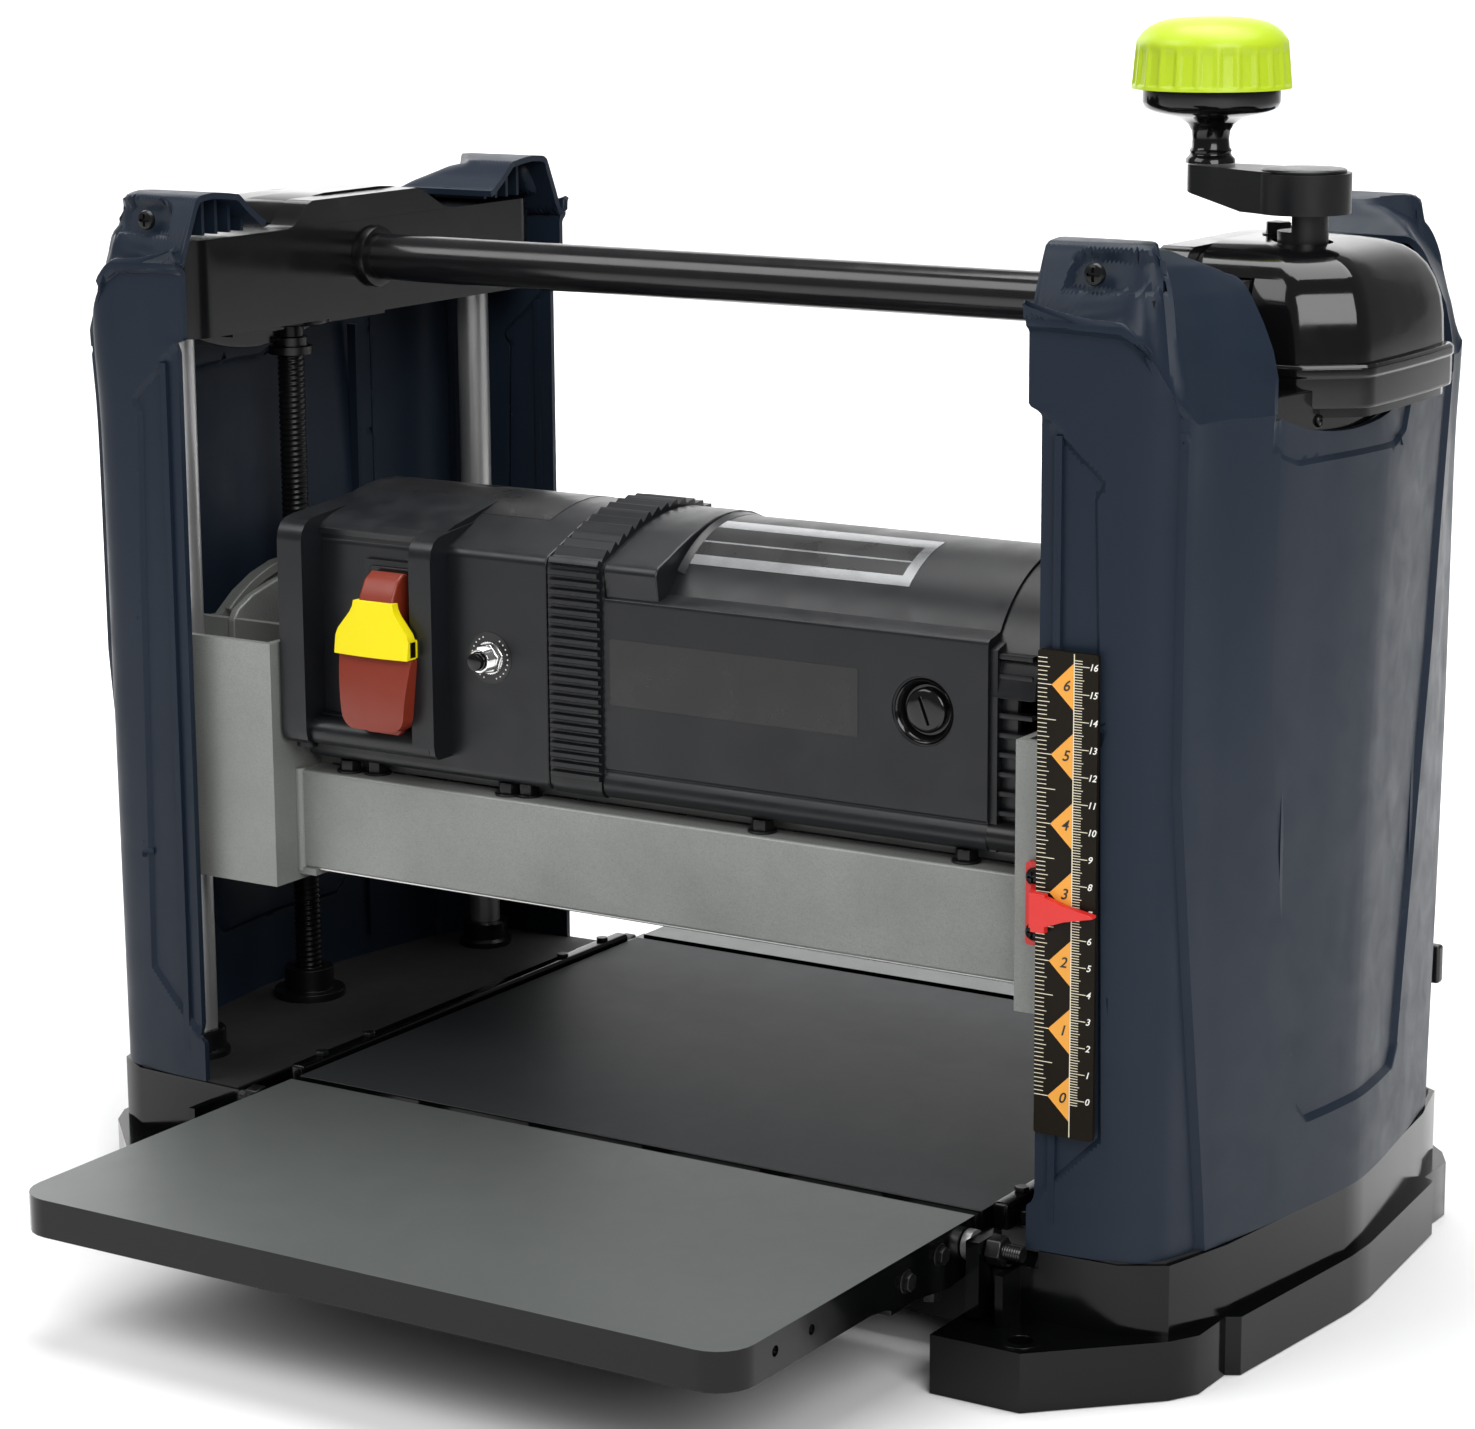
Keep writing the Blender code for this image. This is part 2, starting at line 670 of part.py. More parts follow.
def make_crank_arm():
    """The shaft through the gear cover, the hub on it and the arm out to the knob."""
    centre = (SCREW_X, SCREW_Y)
    shaft = rod("z", centre, 0.0094, 0.4006, 0.4225, 24)
    hub = rod("z", centre, 0.0175, 0.4215, 0.4368, 32)
    tip = [crank_point(*point) for point in arc((CRANK_ARM, 0.0), 0.0085, 90, -90, 8)]
    plan = [crank_point(0.0, -0.0165), crank_point(0.0, 0.0165)] + tip
    arm = prism(plan, "z", 0.4285, 0.4372)
    reach = [crank_point(d, a) for d, a in ((0.0, 0.0155), (0.030, 0.0095), (0.030, -0.0095), (0.0, -0.0155))]
    root = prism(reach, "z", 0.4245, 0.4290)
    finished("crank_arm", "black_satin", shaft, [hub, arm, root], [], (*centre, 0.420))


def make_knob():
    centre = crank_point(CRANK_ARM)
    stem = [
        (0.0095, 0.4376),
        (0.0090, 0.4400),
        (0.0070, 0.4440),
        (0.0072, 0.4490),
        (0.0110, 0.4530),
        (0.0215, 0.4560),
        (0.0258, 0.4590),
        (0.0258, 0.4650),
    ]
    finished("knob_stem", "black_satin", turned(stem, centre, 32), origin=(*centre, 0.438))
    cap = [
        (KNOB_CAP_RADIUS - 0.0005, KNOB_CAP_BOTTOM),
        (KNOB_CAP_RADIUS, KNOB_CAP_BOTTOM + 0.0015),
        (0.0292, 0.4790),
        (0.0272, 0.4855),
        (0.0225, 0.4895),
        (0.0130, 0.4912),
        (0.0040, KNOB_CAP_TOP),
    ]
    finished("knob_cap", "knob_lime", turned(cap, centre, 48), origin=(*centre, KNOB_CAP_BOTTOM))


# ---------------------------------------------------------------- carriage

def end_block(side, end):
    """A corner block of the carriage: a column passes through it, and its top is an open pocket."""
    inner = -CARRIAGE_LEFT if side < 0 else CARRIAGE_RIGHT
    low, high = span(side, inner, 0.2335)
    y_low, y_high = sorted((end * END_BACK, end * END_FRONT))
    block = box(low, high, y_low, y_high, END_BOTTOM, END_TOP)
    low, high = span(side, inner + 0.0035, 0.2300)
    y_low, y_high = sorted((end * (END_BACK + 0.0035), end * (END_FRONT - 0.0035)))
    pocket = box(low, high, y_low, y_high, 0.205, 0.300)
    bore = rod("z", (side * COLUMN_X, end * COLUMN_Y), COLUMN_RADIUS + RUNNING_GAP, 0.100, 0.300, 24)
    return block, pocket, bore


def make_carriage_end(name, side):
    """The casting at one end of the carriage: two corner blocks and an arched plate with the lifting nut."""
    front, front_pocket, front_bore = end_block(side, -1)
    rear, rear_pocket, rear_bore = end_block(side, 1)
    arch = arc((0.0, 0.170), 0.080, 130, 50, 8)
    plate_line = [(-0.088, 0.150), (-0.088, 0.2320)] + arch + [(0.088, 0.2320), (0.088, 0.150)]
    low, high = span(side, 0.2462, 0.2500)
    plate = prism(plate_line, "x", low, high)
    joined = [rear, plate]
    for end in (-1, 1):
        low, high = span(side, 0.2280, 0.2498)
        y_low, y_high = sorted((end * 0.0840, end * 0.0885))
        joined.append(box(low, high, y_low, y_high, 0.150, 0.2320))
    joined.append(rod("z", (side * SCREW_X, SCREW_Y), 0.0130, 0.150, 0.232, 24))
    low, high = span(side, SCREW_X, 0.2490)
    joined.append(box(low, high, SCREW_Y - 0.008, SCREW_Y + 0.008, 0.1505, 0.2315))
    nut_bore = rod("z", (side * SCREW_X, SCREW_Y), SCREW_RADIUS + RUNNING_GAP, 0.100, 0.300, 20)
    cut = [front_pocket, rear_pocket, front_bore, rear_bore, nut_bore]
    finished(name, "cast_silver", front, joined, cut)


def make_beam(name, end):
    low, high = CARRIAGE_LEFT + GAP, CARRIAGE_RIGHT - GAP
    y_low, y_high = sorted((end * BEAM_BACK, end * BEAM_FRONT))
    finished(name, "cast_silver", box(low, high, y_low, y_high, BEAM_BOTTOM, BEAM_TOP))


def make_deck():
    """The plate over the cutterhead, with a cheek at each end that the cutterhead and the rollers run in."""
    low, high = CARRIAGE_LEFT + GAP, CARRIAGE_RIGHT - GAP
    edge = BEAM_BACK - GAP
    plate = box(low, high, -edge, edge, BEAM_TOP + GAP, DECK_TOP)
    cheeks = [
        box(low, low + 0.006, -edge, edge, 0.1380, DECK_TOP - 0.001),
        box(high - 0.006, high, -edge, edge, 0.1380, DECK_TOP - 0.001),
    ]
    cut = [rod("x", (0.0, CUTTER_Z), JOURNAL_RADIUS + 0.002 + RUNNING_GAP, -0.2, 0.3, 20)]
    for end in (-1, 1):
        cut.append(rod("x", (end * ROLLER_Y, ROLLER_Z), JOURNAL_RADIUS - 0.001 + RUNNING_GAP, -0.2, 0.3, 16))
    finished("carriage_deck", "cast_silver", plate, cheeks, cut)


def across_drum(corners, angle):
    """Points (radius, sideways) at an angle round the cutterhead, in y z."""
    y, z = math.cos(angle), math.sin(angle)
    return [(r * y - w * z, CUTTER_Z + r * z + w * y) for r, w in corners]


def make_cutterhead():
    left, right = -0.1490, 0.1700
    drum = rod("x", (0.0, CUTTER_Z), CUTTER_RADIUS - 0.0012, left, right, 40)
    journal = rod("x", (0.0, CUTTER_Z), JOURNAL_RADIUS + 0.002, -0.1755, 0.1825, 20)
    stub = rod("x", (0.0, CUTTER_Z), JOURNAL_RADIUS, -0.1920, -0.170, 20)
    origin = (HEAD_X, 0.0, CUTTER_Z)
    slots = []
    for word, angle in KNIFE_ANGLES:
        half = SLOT_WIDTH / 2
        rim = CUTTER_RADIUS + 0.001
        slot = [(SLOT_DEPTH, -half), (rim, -half), (rim, half), (SLOT_DEPTH, half)]
        slots.append(prism(across_drum(slot, angle), "x", left - 0.01, right + 0.01))
        half = SLOT_WIDTH / 2 - RUNNING_GAP
        root = SLOT_DEPTH + GAP
        knife = [(root, -half), (CUTTER_RADIUS, -half), (CUTTER_RADIUS - 0.0008, half), (root, half)]
        blade = prism(across_drum(knife, angle), "x", left, right)
        finished(f"{word}_knife", "polished_steel", blade, origin=origin)
    finished("cutterhead_drum", "polished_steel", drum, [journal, stub], slots, origin)


def make_pulley(name, centre, radius, shaft):
    disc = rod("x", centre, radius, PULLEY_LEFT, PULLEY_RIGHT, 32)
    hole = rod("x", centre, shaft + GAP, PULLEY_LEFT - 0.01, PULLEY_RIGHT + 0.01, 20)
    finished(name, "dark_steel", disc, [], [hole], (PULLEY_LEFT, *centre))


def belt_outline(extra):
    """The belt line (y z), the outer tangents of the two pulleys with that much added to each radius."""
    distance = math.hypot(MOTOR_Y, MOTOR_Z - CUTTER_Z)
    heading = math.degrees(math.atan2(MOTOR_Z - CUTTER_Z, MOTOR_Y))
    small, large = MOTOR_PULLEY_RADIUS + extra, CUTTER_PULLEY_RADIUS + extra
    lean = math.degrees(math.acos((large - small) / distance))
    upper = arc((MOTOR_Y, MOTOR_Z), small, heading - lean, heading + lean, 10)
    lower = arc((0.0, CUTTER_Z), large, heading + lean, heading + 360 - lean, 14)
    return upper + lower


def make_belt():
    low, high = PULLEY_LEFT + 0.001, PULLEY_RIGHT - 0.001
    loop = prism(belt_outline(GAP + BELT_THICKNESS), "x", low, high)
    inside = prism(belt_outline(GAP), "x", low - 0.01, high + 0.01)
    finished("drive_belt", "rubber_black", loop, [], [inside])


def make_roller(name, end):
    centre = (end * ROLLER_Y, ROLLER_Z)
    drum = rod("x", centre, ROLLER_RADIUS, -0.1500, 0.1710, 28)
    journal = rod("x", centre, JOURNAL_RADIUS - 0.001, -0.1612, 0.1822, 16)
    finished(name, "rubber_black", drum, [journal], [], (HEAD_X, *centre))


# ---------------------------------------------------------------- motor and switch

def boxy_outline(grow):
    """Cross-section (y z) of the squarer half of the motor housing, with its outside moved out by grow."""
    return [
        (HOUSING_FRONT - grow, HOUSING_BOTTOM),
        (HOUSING_FRONT - grow, HOUSING_TOP - 0.003 + grow),
        (HOUSING_FRONT + 0.003, HOUSING_TOP + grow),
        (-0.088, 0.2900 + grow),
        (-0.070, 0.2955 + grow),
        (-0.055, 0.2975 + grow),
        (-0.040, 0.2970 + grow),
        (-0.020, 0.2900 + grow),
        (-0.005 + grow, 0.2790 + grow),
        (0.005 + grow, 0.2620),
        (0.008 + grow, 0.2400),
        (0.008 + grow, HOUSING_BOTTOM),
    ]


def make_drive_housing():
    """The hollow housing at the switch end, open to the belt side."""
    right = RING_LEFT - GAP
    shell = prism(boxy_outline(0.0), "x", DRIVE_LEFT, right)
    hollow = [(y * 0.92 - 0.004, 0.241 + (z - 0.241) * 0.92) for y, z in boxy_outline(0.0)]
    cut = [prism(hollow, "x", DRIVE_LEFT - 0.01, right - 0.005)]
    cut.append(rod("x", (MOTOR_Y, MOTOR_Z), 0.0100, -0.2, 0.1, 20))
    cut.append(rod("y", (RESET_X, RESET_Z), 0.0046, -0.120, -0.080, 16))
    finished("drive_housing", "housing_black", shell, [], cut)


def make_ring():
    outer = prism(boxy_outline(0.0025), "x", RING_LEFT, RING_RIGHT)
    bore = rod("x", (MOTOR_Y, MOTOR_Z), 0.0500, -0.1, 0.1, 40)
    finished("ribbed_ring", "housing_black", outer, [], [bore])


def make_motor_housing():
    """The barrel, the flat-fronted case before it, and the squarer collar next to the ribbed ring."""
    low = RING_RIGHT + GAP
    barrel = rod("x", (MOTOR_Y, MOTOR_Z), BARREL_RADIUS, low, MOTOR_RIGHT, 48)
    case = box(low, MOTOR_RIGHT - 0.001, HOUSING_FRONT, MOTOR_Y, HOUSING_BOTTOM, 0.2695)
    foot = box(low, MOTOR_RIGHT - 0.001, MOTOR_Y, 0.0040, HOUSING_BOTTOM, MOTOR_Z)
    collar = prism(boxy_outline(-0.0002), "x", low + 0.0001, 0.0160)
    bore = rod("x", (MOTOR_Y, MOTOR_Z), 0.0500, -0.1, 0.3, 40)
    brush = rod("y", (0.134, MOTOR_Z), 0.0088, -0.120, -0.080, 20)
    finished("motor_housing", "housing_black", barrel, [case, foot, collar], [bore, brush, below_motor()])


def below_motor():
    """What is cut from the round of the motor so that it stands flat on the deck."""
    return box(-0.2, 0.3, -0.150, 0.050, 0.150, HOUSING_BOTTOM)


def make_motor_cap():
    """The vented cap at the outer end of the motor."""
    low, high = MOTOR_RIGHT + GAP, MOTOR_CAP_RIGHT
    barrel = rod("x", (MOTOR_Y, MOTOR_Z), BARREL_RADIUS - 0.0015, low, high, 48)
    case = box(low, high - 0.001, HOUSING_FRONT + 0.002, MOTOR_Y, HOUSING_BOTTOM, 0.2680)
    foot = box(low, high - 0.001, MOTOR_Y, 0.0030, HOUSING_BOTTOM, MOTOR_Z)
    hollow = rod("x", (MOTOR_Y, MOTOR_Z), 0.0490, low - 0.01, high - 0.004, 32)
    cut = [hollow, below_motor()]
    for number in range(7):
        z = 0.2030 + 0.0095 * number
        cut.append(box(low + 0.003, high - 0.005, HOUSING_FRONT - 0.01, -0.080, z, z + 0.0045))
    finished("motor_end_cap", "housing_black", barrel, [case, foot], cut)


def make_stator():
    ring = rod("x", (MOTOR_Y, MOTOR_Z), 0.0495, 0.0300, 0.1150, 32)
    bore = rod("x", (MOTOR_Y, MOTOR_Z), 0.0290, 0.0, 0.2, 28)
    finished("motor_stator", "dark_steel", ring, [], [bore])


def make_rotor():
    """Shaft, windings and commutator, then the fan and the belt pulley on the same shaft."""
    centre = (MOTOR_Y, MOTOR_Z)
    shaft = rod("x", centre, JOURNAL_RADIUS, -0.1920, 0.1740, 20)
    core = rod("x", centre, 0.0275, 0.0300, 0.1150, 28)
    commutator = rod("x", centre, 0.0150, 0.1140, 0.1450, 24)
    finished("motor_rotor", "copper", shaft, [core, commutator], [], (HEAD_X, *centre))
    fan = rod("x", centre, 0.0430, 0.0020, 0.0060, 32)
    hub = rod("x", centre, 0.0120, 0.0050, 0.0200, 20)
    hole = rod("x", centre, JOURNAL_RADIUS + GAP, -0.01, 0.03, 20)
    blades = []
    for number in range(8):
        t = 2 * math.pi * number / 8
        corners = [(0.0110, -0.001), (0.0420, 0.006), (0.0420, 0.008), (0.0110, 0.001)]
        outline = [
            (MOTOR_Y + r * math.cos(t) - w * math.sin(t), MOTOR_Z + r * math.sin(t) + w * math.cos(t))
            for r, w in corners
        ]
        blades.append(prism(outline, "x", 0.0050, 0.0180))
    finished("motor_fan", "housing_black", fan, [hub] + blades, [hole], (0.002, *centre))
    make_pulley("motor_pulley", centre, MOTOR_PULLEY_RADIUS, JOURNAL_RADIUS)


def make_switch_guard():
    """The raised frame round the switch: two upright flanges and a bar below."""
    back = HOUSING_FRONT - GAP
    left_flange = box(-0.1595, -0.1480, -0.1185, back, 0.1970, 0.2900)
    right_flange = box(-0.0950, -0.0845, -0.1160, back, 0.1970, 0.2900)
    bar = rod("x", (-0.1130, 0.2030), 0.0055, -0.1590, -0.0850, 20)
    panel = box(-0.1500, -0.0930, -0.1090, back, 0.1980, 0.2895)
    recess = box(SWITCH_X - 0.0130, SWITCH_X + 0.0130, -0.120, -0.090, 0.2200, 0.2765)
    finished("switch_guard", "housing_black", left_flange, [panel, right_flange, bar], [recess])


def make_switch_paddle():
    """A red paddle on a pivot near its top; its upper front is cut away for the safety key."""
    side_line = [
        (-0.1070, 0.2705),
        (-0.1110, 0.2715),
        (-0.1165, 0.2600),
        (PADDLE_FRONT, 0.2340),
        (PADDLE_FRONT - 0.0005, 0.2140),
        (-0.1215, 0.2085),
        (-0.1185, 0.2085),
        (-0.1130, 0.2260),
        (-0.1085, 0.2360),
        (-0.1070, 0.2500),
    ]
    half = 0.0118
    body = prism(side_line, "x", SWITCH_X - half, SWITCH_X + half)
    lower = [
        (SWITCH_X - 0.0180, 0.2360),
        (SWITCH_X - 0.0182, 0.2180),
        (SWITCH_X - 0.0150, 0.2110),
        (SWITCH_X - 0.0090, 0.2087),
        (SWITCH_X + 0.0090, 0.2087),
        (SWITCH_X + 0.0150, 0.2110),
        (SWITCH_X + 0.0182, 0.2180),
        (SWITCH_X + 0.0180, 0.2360),
    ]
    lip = prism(lower, "y", PADDLE_FRONT - 0.0003, -0.1172)
    seat = prism(
        [
            (-0.1400, 0.2372),
            (-0.1185, 0.2372),
            (-0.1130, 0.2610),
            (-0.1400, 0.2610),
        ],
        "x",
        SWITCH_X - 0.03,
        SWITCH_X + 0.03,
    )
    finished(
        "switch_paddle", "switch_red", body, [lip], [seat], (SWITCH_X, PADDLE_PIVOT[0], PADDLE_PIVOT[1])
    )


def make_safety_key():
    """The yellow key that seats on the paddle, wide at the bottom and narrow at the top."""
    front = [
        (SWITCH_X - 0.0178, 0.2375),
        (SWITCH_X + 0.0178, 0.2375),
        (SWITCH_X + 0.0180, 0.2470),
        (SWITCH_X + 0.0095, 0.2590),
        (SWITCH_X + 0.0088, 0.2606),
        (SWITCH_X - 0.0088, 0.2606),
        (SWITCH_X - 0.0095, 0.2590),
        (SWITCH_X - 0.0180, 0.2470),
    ]
    key = prism(front, "y", PADDLE_FRONT - 0.0012, -0.1172)
    slope = prism(
        [(-0.1206, 0.2300), (-0.1127, 0.2642), (-0.0900, 0.2642), (-0.0900, 0.2300)],
        "x",
        SWITCH_X - 0.03,
        SWITCH_X + 0.03,
    )
    face = prism(
        [(-0.1255, 0.2400), (-0.1175, 0.2640), (-0.1400, 0.2640), (-0.1400, 0.2400)],
        "x",
        SWITCH_X - 0.03,
        SWITCH_X + 0.03,
    )
    finished("safety_key", "key_yellow", key, [], [slope, face], (SWITCH_X, PADDLE_FRONT, 0.248))


def make_reset():
    """The breaker's threaded collar and the button that slides in it."""
    centre = (RESET_X, RESET_Z)
    plate = rod("y", centre, 0.0105, -0.1062, HOUSING_FRONT - GAP, 28)
    nut = rod("y", centre, 0.0065, -0.1092, -0.1056, 6)
    neck = rod("y", centre, 0.0052, -0.1130, -0.1085, 24)
    bore = rod("y", centre, 0.0041, -0.130, -0.090, 20)
    finished("breaker_collar", "polished_steel", plate, [nut, neck], [bore])
    button = rod("y", centre, 0.0037, -0.1165, -0.0990, 20)
    finished("reset_button", "black_gloss", button, origin=(RESET_X, -0.1165, RESET_Z))


def make_brush_cap():
    cap = rod("y", (0.134, MOTOR_Z), 0.0084, -0.1030, -0.0985, 20)
    slot = box(0.126, 0.142, -0.110, -0.1015, MOTOR_Z - 0.0008, MOTOR_Z + 0.0008)
    finished("brush_cap", "black_gloss", cap, [], [slot])


def make_pointer():
    """The red pointer: screwed to the carriage, then out past the cover's edge and across the scale."""
    plate = box(0.1845, 0.1935, -0.1252, -END_FRONT - GAP, 0.1640, 0.1945)
    arm = box(0.1860, 0.1935, -0.1400, -0.1245, 0.1765, 0.1870)
    arrow = [
        (0.1862, 0.1762),
        (0.2060, 0.1775),
        (0.2235, 0.1842),
        (0.2235, 0.1852),
        (0.2060, 0.1873),
        (0.1862, 0.1873),
    ]
    finished("depth_pointer", "pointer_red", plate, [arm, prism(arrow, "y", -0.1402, -0.1386)])


def make_chip_deflector():
    """The hood behind the motor that throws chips out at the rear."""
    outline = [
        (0.0300, DECK_TOP + GAP),
        (0.0300, 0.2150),
        (0.0420, 0.2280),
        (0.0600, 0.2300),
        (0.1130, 0.2080),
        (0.1130, 0.1960),
        (0.0900, DECK_TOP + GAP),
    ]
    hood = prism(outline, "x", -0.1500, 0.1700)
    inner = [
        (0.0330, 0.1915),
        (0.0330, 0.2140),
        (0.0430, 0.2250),
        (0.0590, 0.2270),
        (0.1300, 0.1980),
        (0.1300, 0.1965),
        (0.0880, 0.1915),
    ]
    hollow = prism(inner, "x", -0.1470, 0.1670)
    finished("chip_deflector", "housing_black", hood, [], [hollow])


def make_base_and_tables():
    make_base()
    make_main_table()
    make_extension("infeed_table", -1)
    make_extension("outfeed_table", 1)
    make_fold_bolts()


def make_posts():
    make_columns()
    for side, word in ((1, "right"), (-1, "left")):
        make_screw_bearing(f"{word}_screw_bearing", side)
        make_top_bracket(f"{word}_top_bracket", side)
        make_post_cover(f"{word}_post_cover", side)
    make_caps()
    make_handle_tube()
    make_depth_scale()
    make_tool_clip()


def make_lift():
    make_screw("right_leadscrew", 1, 0.4002)
    make_screw("left_leadscrew", -1, 0.3850)
    make_sprocket("right_sprocket", 1)
    make_sprocket("left_sprocket", -1)
    make_chain()
    make_crank_arm()
    make_knob()


def make_carriage():
    make_carriage_end("right_carriage_end", 1)
    make_carriage_end("left_carriage_end", -1)
    make_beam("front_beam", -1)
    make_beam("rear_beam", 1)
    make_deck()
    make_cutterhead()
    make_pulley("cutterhead_pulley", (0.0, CUTTER_Z), CUTTER_PULLEY_RADIUS, JOURNAL_RADIUS)
    make_belt()
    make_roller("infeed_roller", -1)
    make_roller("outfeed_roller", 1)
    make_chip_deflector()
    make_pointer()


def make_motor():
    make_drive_housing()
    make_ring()
    make_motor_housing()
    make_motor_cap()
    make_stator()
    make_rotor()
    make_brush_cap()
    make_switch_guard()
    make_switch_paddle()
    make_safety_key()
    make_reset()


def main():
    clear_scene()
    make_base_and_tables()
    make_posts()
    make_lift()
    make_carriage()
    make_motor()


main()
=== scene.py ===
"""The looks of the benchtop thickness planer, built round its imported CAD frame.

Outlines and sizes are in millimetres, in the frame's own axes: +Z up, infeed side towards -Y, crank on +X.
"""

import math

import bmesh
import bpy
import numpy as np
from mathutils import Matrix, Vector


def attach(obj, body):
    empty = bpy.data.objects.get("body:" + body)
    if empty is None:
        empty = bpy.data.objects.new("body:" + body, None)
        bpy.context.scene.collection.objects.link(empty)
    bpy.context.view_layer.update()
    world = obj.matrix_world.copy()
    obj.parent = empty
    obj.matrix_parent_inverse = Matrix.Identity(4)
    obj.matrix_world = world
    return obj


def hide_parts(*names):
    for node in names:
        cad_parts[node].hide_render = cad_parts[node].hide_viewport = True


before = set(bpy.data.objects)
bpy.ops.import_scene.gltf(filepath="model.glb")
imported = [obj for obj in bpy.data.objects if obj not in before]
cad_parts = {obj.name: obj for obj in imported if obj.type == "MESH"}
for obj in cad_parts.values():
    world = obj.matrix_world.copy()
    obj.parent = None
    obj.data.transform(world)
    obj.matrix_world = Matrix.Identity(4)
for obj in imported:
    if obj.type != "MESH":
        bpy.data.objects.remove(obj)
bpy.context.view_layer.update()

MM = 0.001
LENS = 97.55
SENSOR = 36.0
CAMERA_AT = (0.85655, -1.36537, 0.55503)
CAMERA_HEADING = math.radians(32.54)
CAMERA_PITCH = math.radians(12.27)
CAMERA_ROLL = math.radians(-0.37)

COLUMN_X, COLUMN_Y = 222.0, 103.0
SCREW_X, SCREW_Y = 239.0, -8.0
TABLE_TOP = 58.0
FOLD_Y, FOLD_Z = 137.5, 49.0
MOTOR_Y, MOTOR_Z = -50.0, 241.0
CUTTER_Z = 155.5
MOTOR = (MOTOR_Y, MOTOR_Z)
CUTTER = (0.0, CUTTER_Z)
BRUSH = (134.0, 240.0)
SLOT_TURN = 1.2
BREAKER = (-64.0, 240.0)
PADDLE_X = -110.0
FOOT_X, FOOT_Y = 204.0, 154.0
SIDES = ((1, "right"), (-1, "left"))
ENDS = ((-1, "front"), (1, "rear"))
LEAVES = ((-1, "infeed"), (1, "outfeed"))
TUBE_Z = 383.7
THREAD_PITCH = 2.38125
CHAIN_PITCH = 9.525

# ---------------------------------------------------------------- materials


def nodes_of(name):
    """A new material's node tree, its Principled shader and the object's own coordinates."""
    made = bpy.data.materials.new(name)
    made.use_nodes = True
    tree = made.node_tree
    shader = tree.nodes["Principled BSDF"]
    where = tree.nodes.new("ShaderNodeTexCoord")
    return made, tree, shader, where.outputs["Object"]


def noise(tree, where, scale, detail=4.0, stretch=None, distortion=0.0):
    """A noise of that many features a metre, stretched along an axis where asked."""
    texture = tree.nodes.new("ShaderNodeTexNoise")
    texture.inputs["Scale"].default_value = scale
    texture.inputs["Detail"].default_value = detail
    texture.inputs["Distortion"].default_value = distortion
    if stretch:
        mapping = tree.nodes.new("ShaderNodeMapping")
        mapping.inputs["Scale"].default_value = stretch
        tree.links.new(where, mapping.inputs["Vector"])
        where = mapping.outputs["Vector"]
    tree.links.new(where, texture.inputs["Vector"])
    return texture.outputs["Fac"]


def ramp(tree, fac, low, high, start=0.3, end=0.7):
    """Maps a factor to the range between two values."""
    node = tree.nodes.new("ShaderNodeMapRange")
    node.inputs["From Min"].default_value = start
    node.inputs["From Max"].default_value = end
    node.inputs["To Min"].default_value = low
    node.inputs["To Max"].default_value = high
    tree.links.new(fac, node.inputs["Value"])
    return node.outputs["Result"]


def blend(tree, fac, first, second):
    """A colour between two, by a factor."""
    node = tree.nodes.new("ShaderNodeMix")
    node.data_type = "RGBA"
    for socket, colour in ((node.inputs[6], first), (node.inputs[7], second)):
        if isinstance(colour, tuple):
            socket.default_value = (*colour, 1.0)
        else:
            tree.links.new(colour, socket)
    tree.links.new(fac, node.inputs[0])
    return node.outputs[2]


def bump(tree, shader, layers):
    """Height layers (factor, strength, distance in metres) chained into the shader's normal."""
    last = None
    for fac, strength, distance in layers:
        node = tree.nodes.new("ShaderNodeBump")
        node.inputs["Strength"].default_value = strength
        node.inputs["Distance"].default_value = distance
        tree.links.new(fac, node.inputs["Height"])
        if last:
            tree.links.new(last, node.inputs["Normal"])
        last = node.outputs["Normal"]
    tree.links.new(last, shader.inputs["Normal"])


def worn(name, colour, rough, metallic=0.0, grain=2600.0, height=0.00004, strength=0.25, shade=0.12,
         rough_swing=0.06, specular=0.5, stretch=None, sides=None):
    """A finish with a large soft shade variation, uneven gloss and a fine grain.

    Where sides is given, the faces that look sideways or down take that colour.
    """
    made, tree, shader, where = nodes_of(name)
    cloud = noise(tree, where, 14.0, 5.0)
    fine = noise(tree, where, grain, 3.0, stretch)
    dark = tuple(c * (1.0 - shade) for c in colour)
    light = tuple(min(1.0, c * (1.0 + shade)) for c in colour)
    base = blend(tree, ramp(tree, cloud, 0.0, 1.0), dark, light)
    speck = ramp(tree, fine, 0.0, 1.0, 0.35, 0.65)
    base = blend(tree, ramp(tree, speck, 0.0, 0.35, 0.0, 1.0), base, dark)
    if sides:
        facing = tree.nodes.new("ShaderNodeSeparateXYZ")
        tree.links.new(where.node.outputs["Normal"], facing.inputs["Vector"])
        base = blend(tree, ramp(tree, facing.outputs["Z"], 0.0, 1.0, 0.55, 0.85), sides, base)
    tree.links.new(base, shader.inputs["Base Color"])
    scuff = noise(tree, where, 55.0, 6.0, None, 0.6)
    gloss = ramp(tree, scuff, rough - rough_swing, rough + rough_swing)
    tree.links.new(gloss, shader.inputs["Roughness"])
    shader.inputs["Metallic"].default_value = metallic
    shader.inputs["Specular IOR Level"].default_value = specular
    bump(tree, shader, [(fine, strength, height)])
    return made


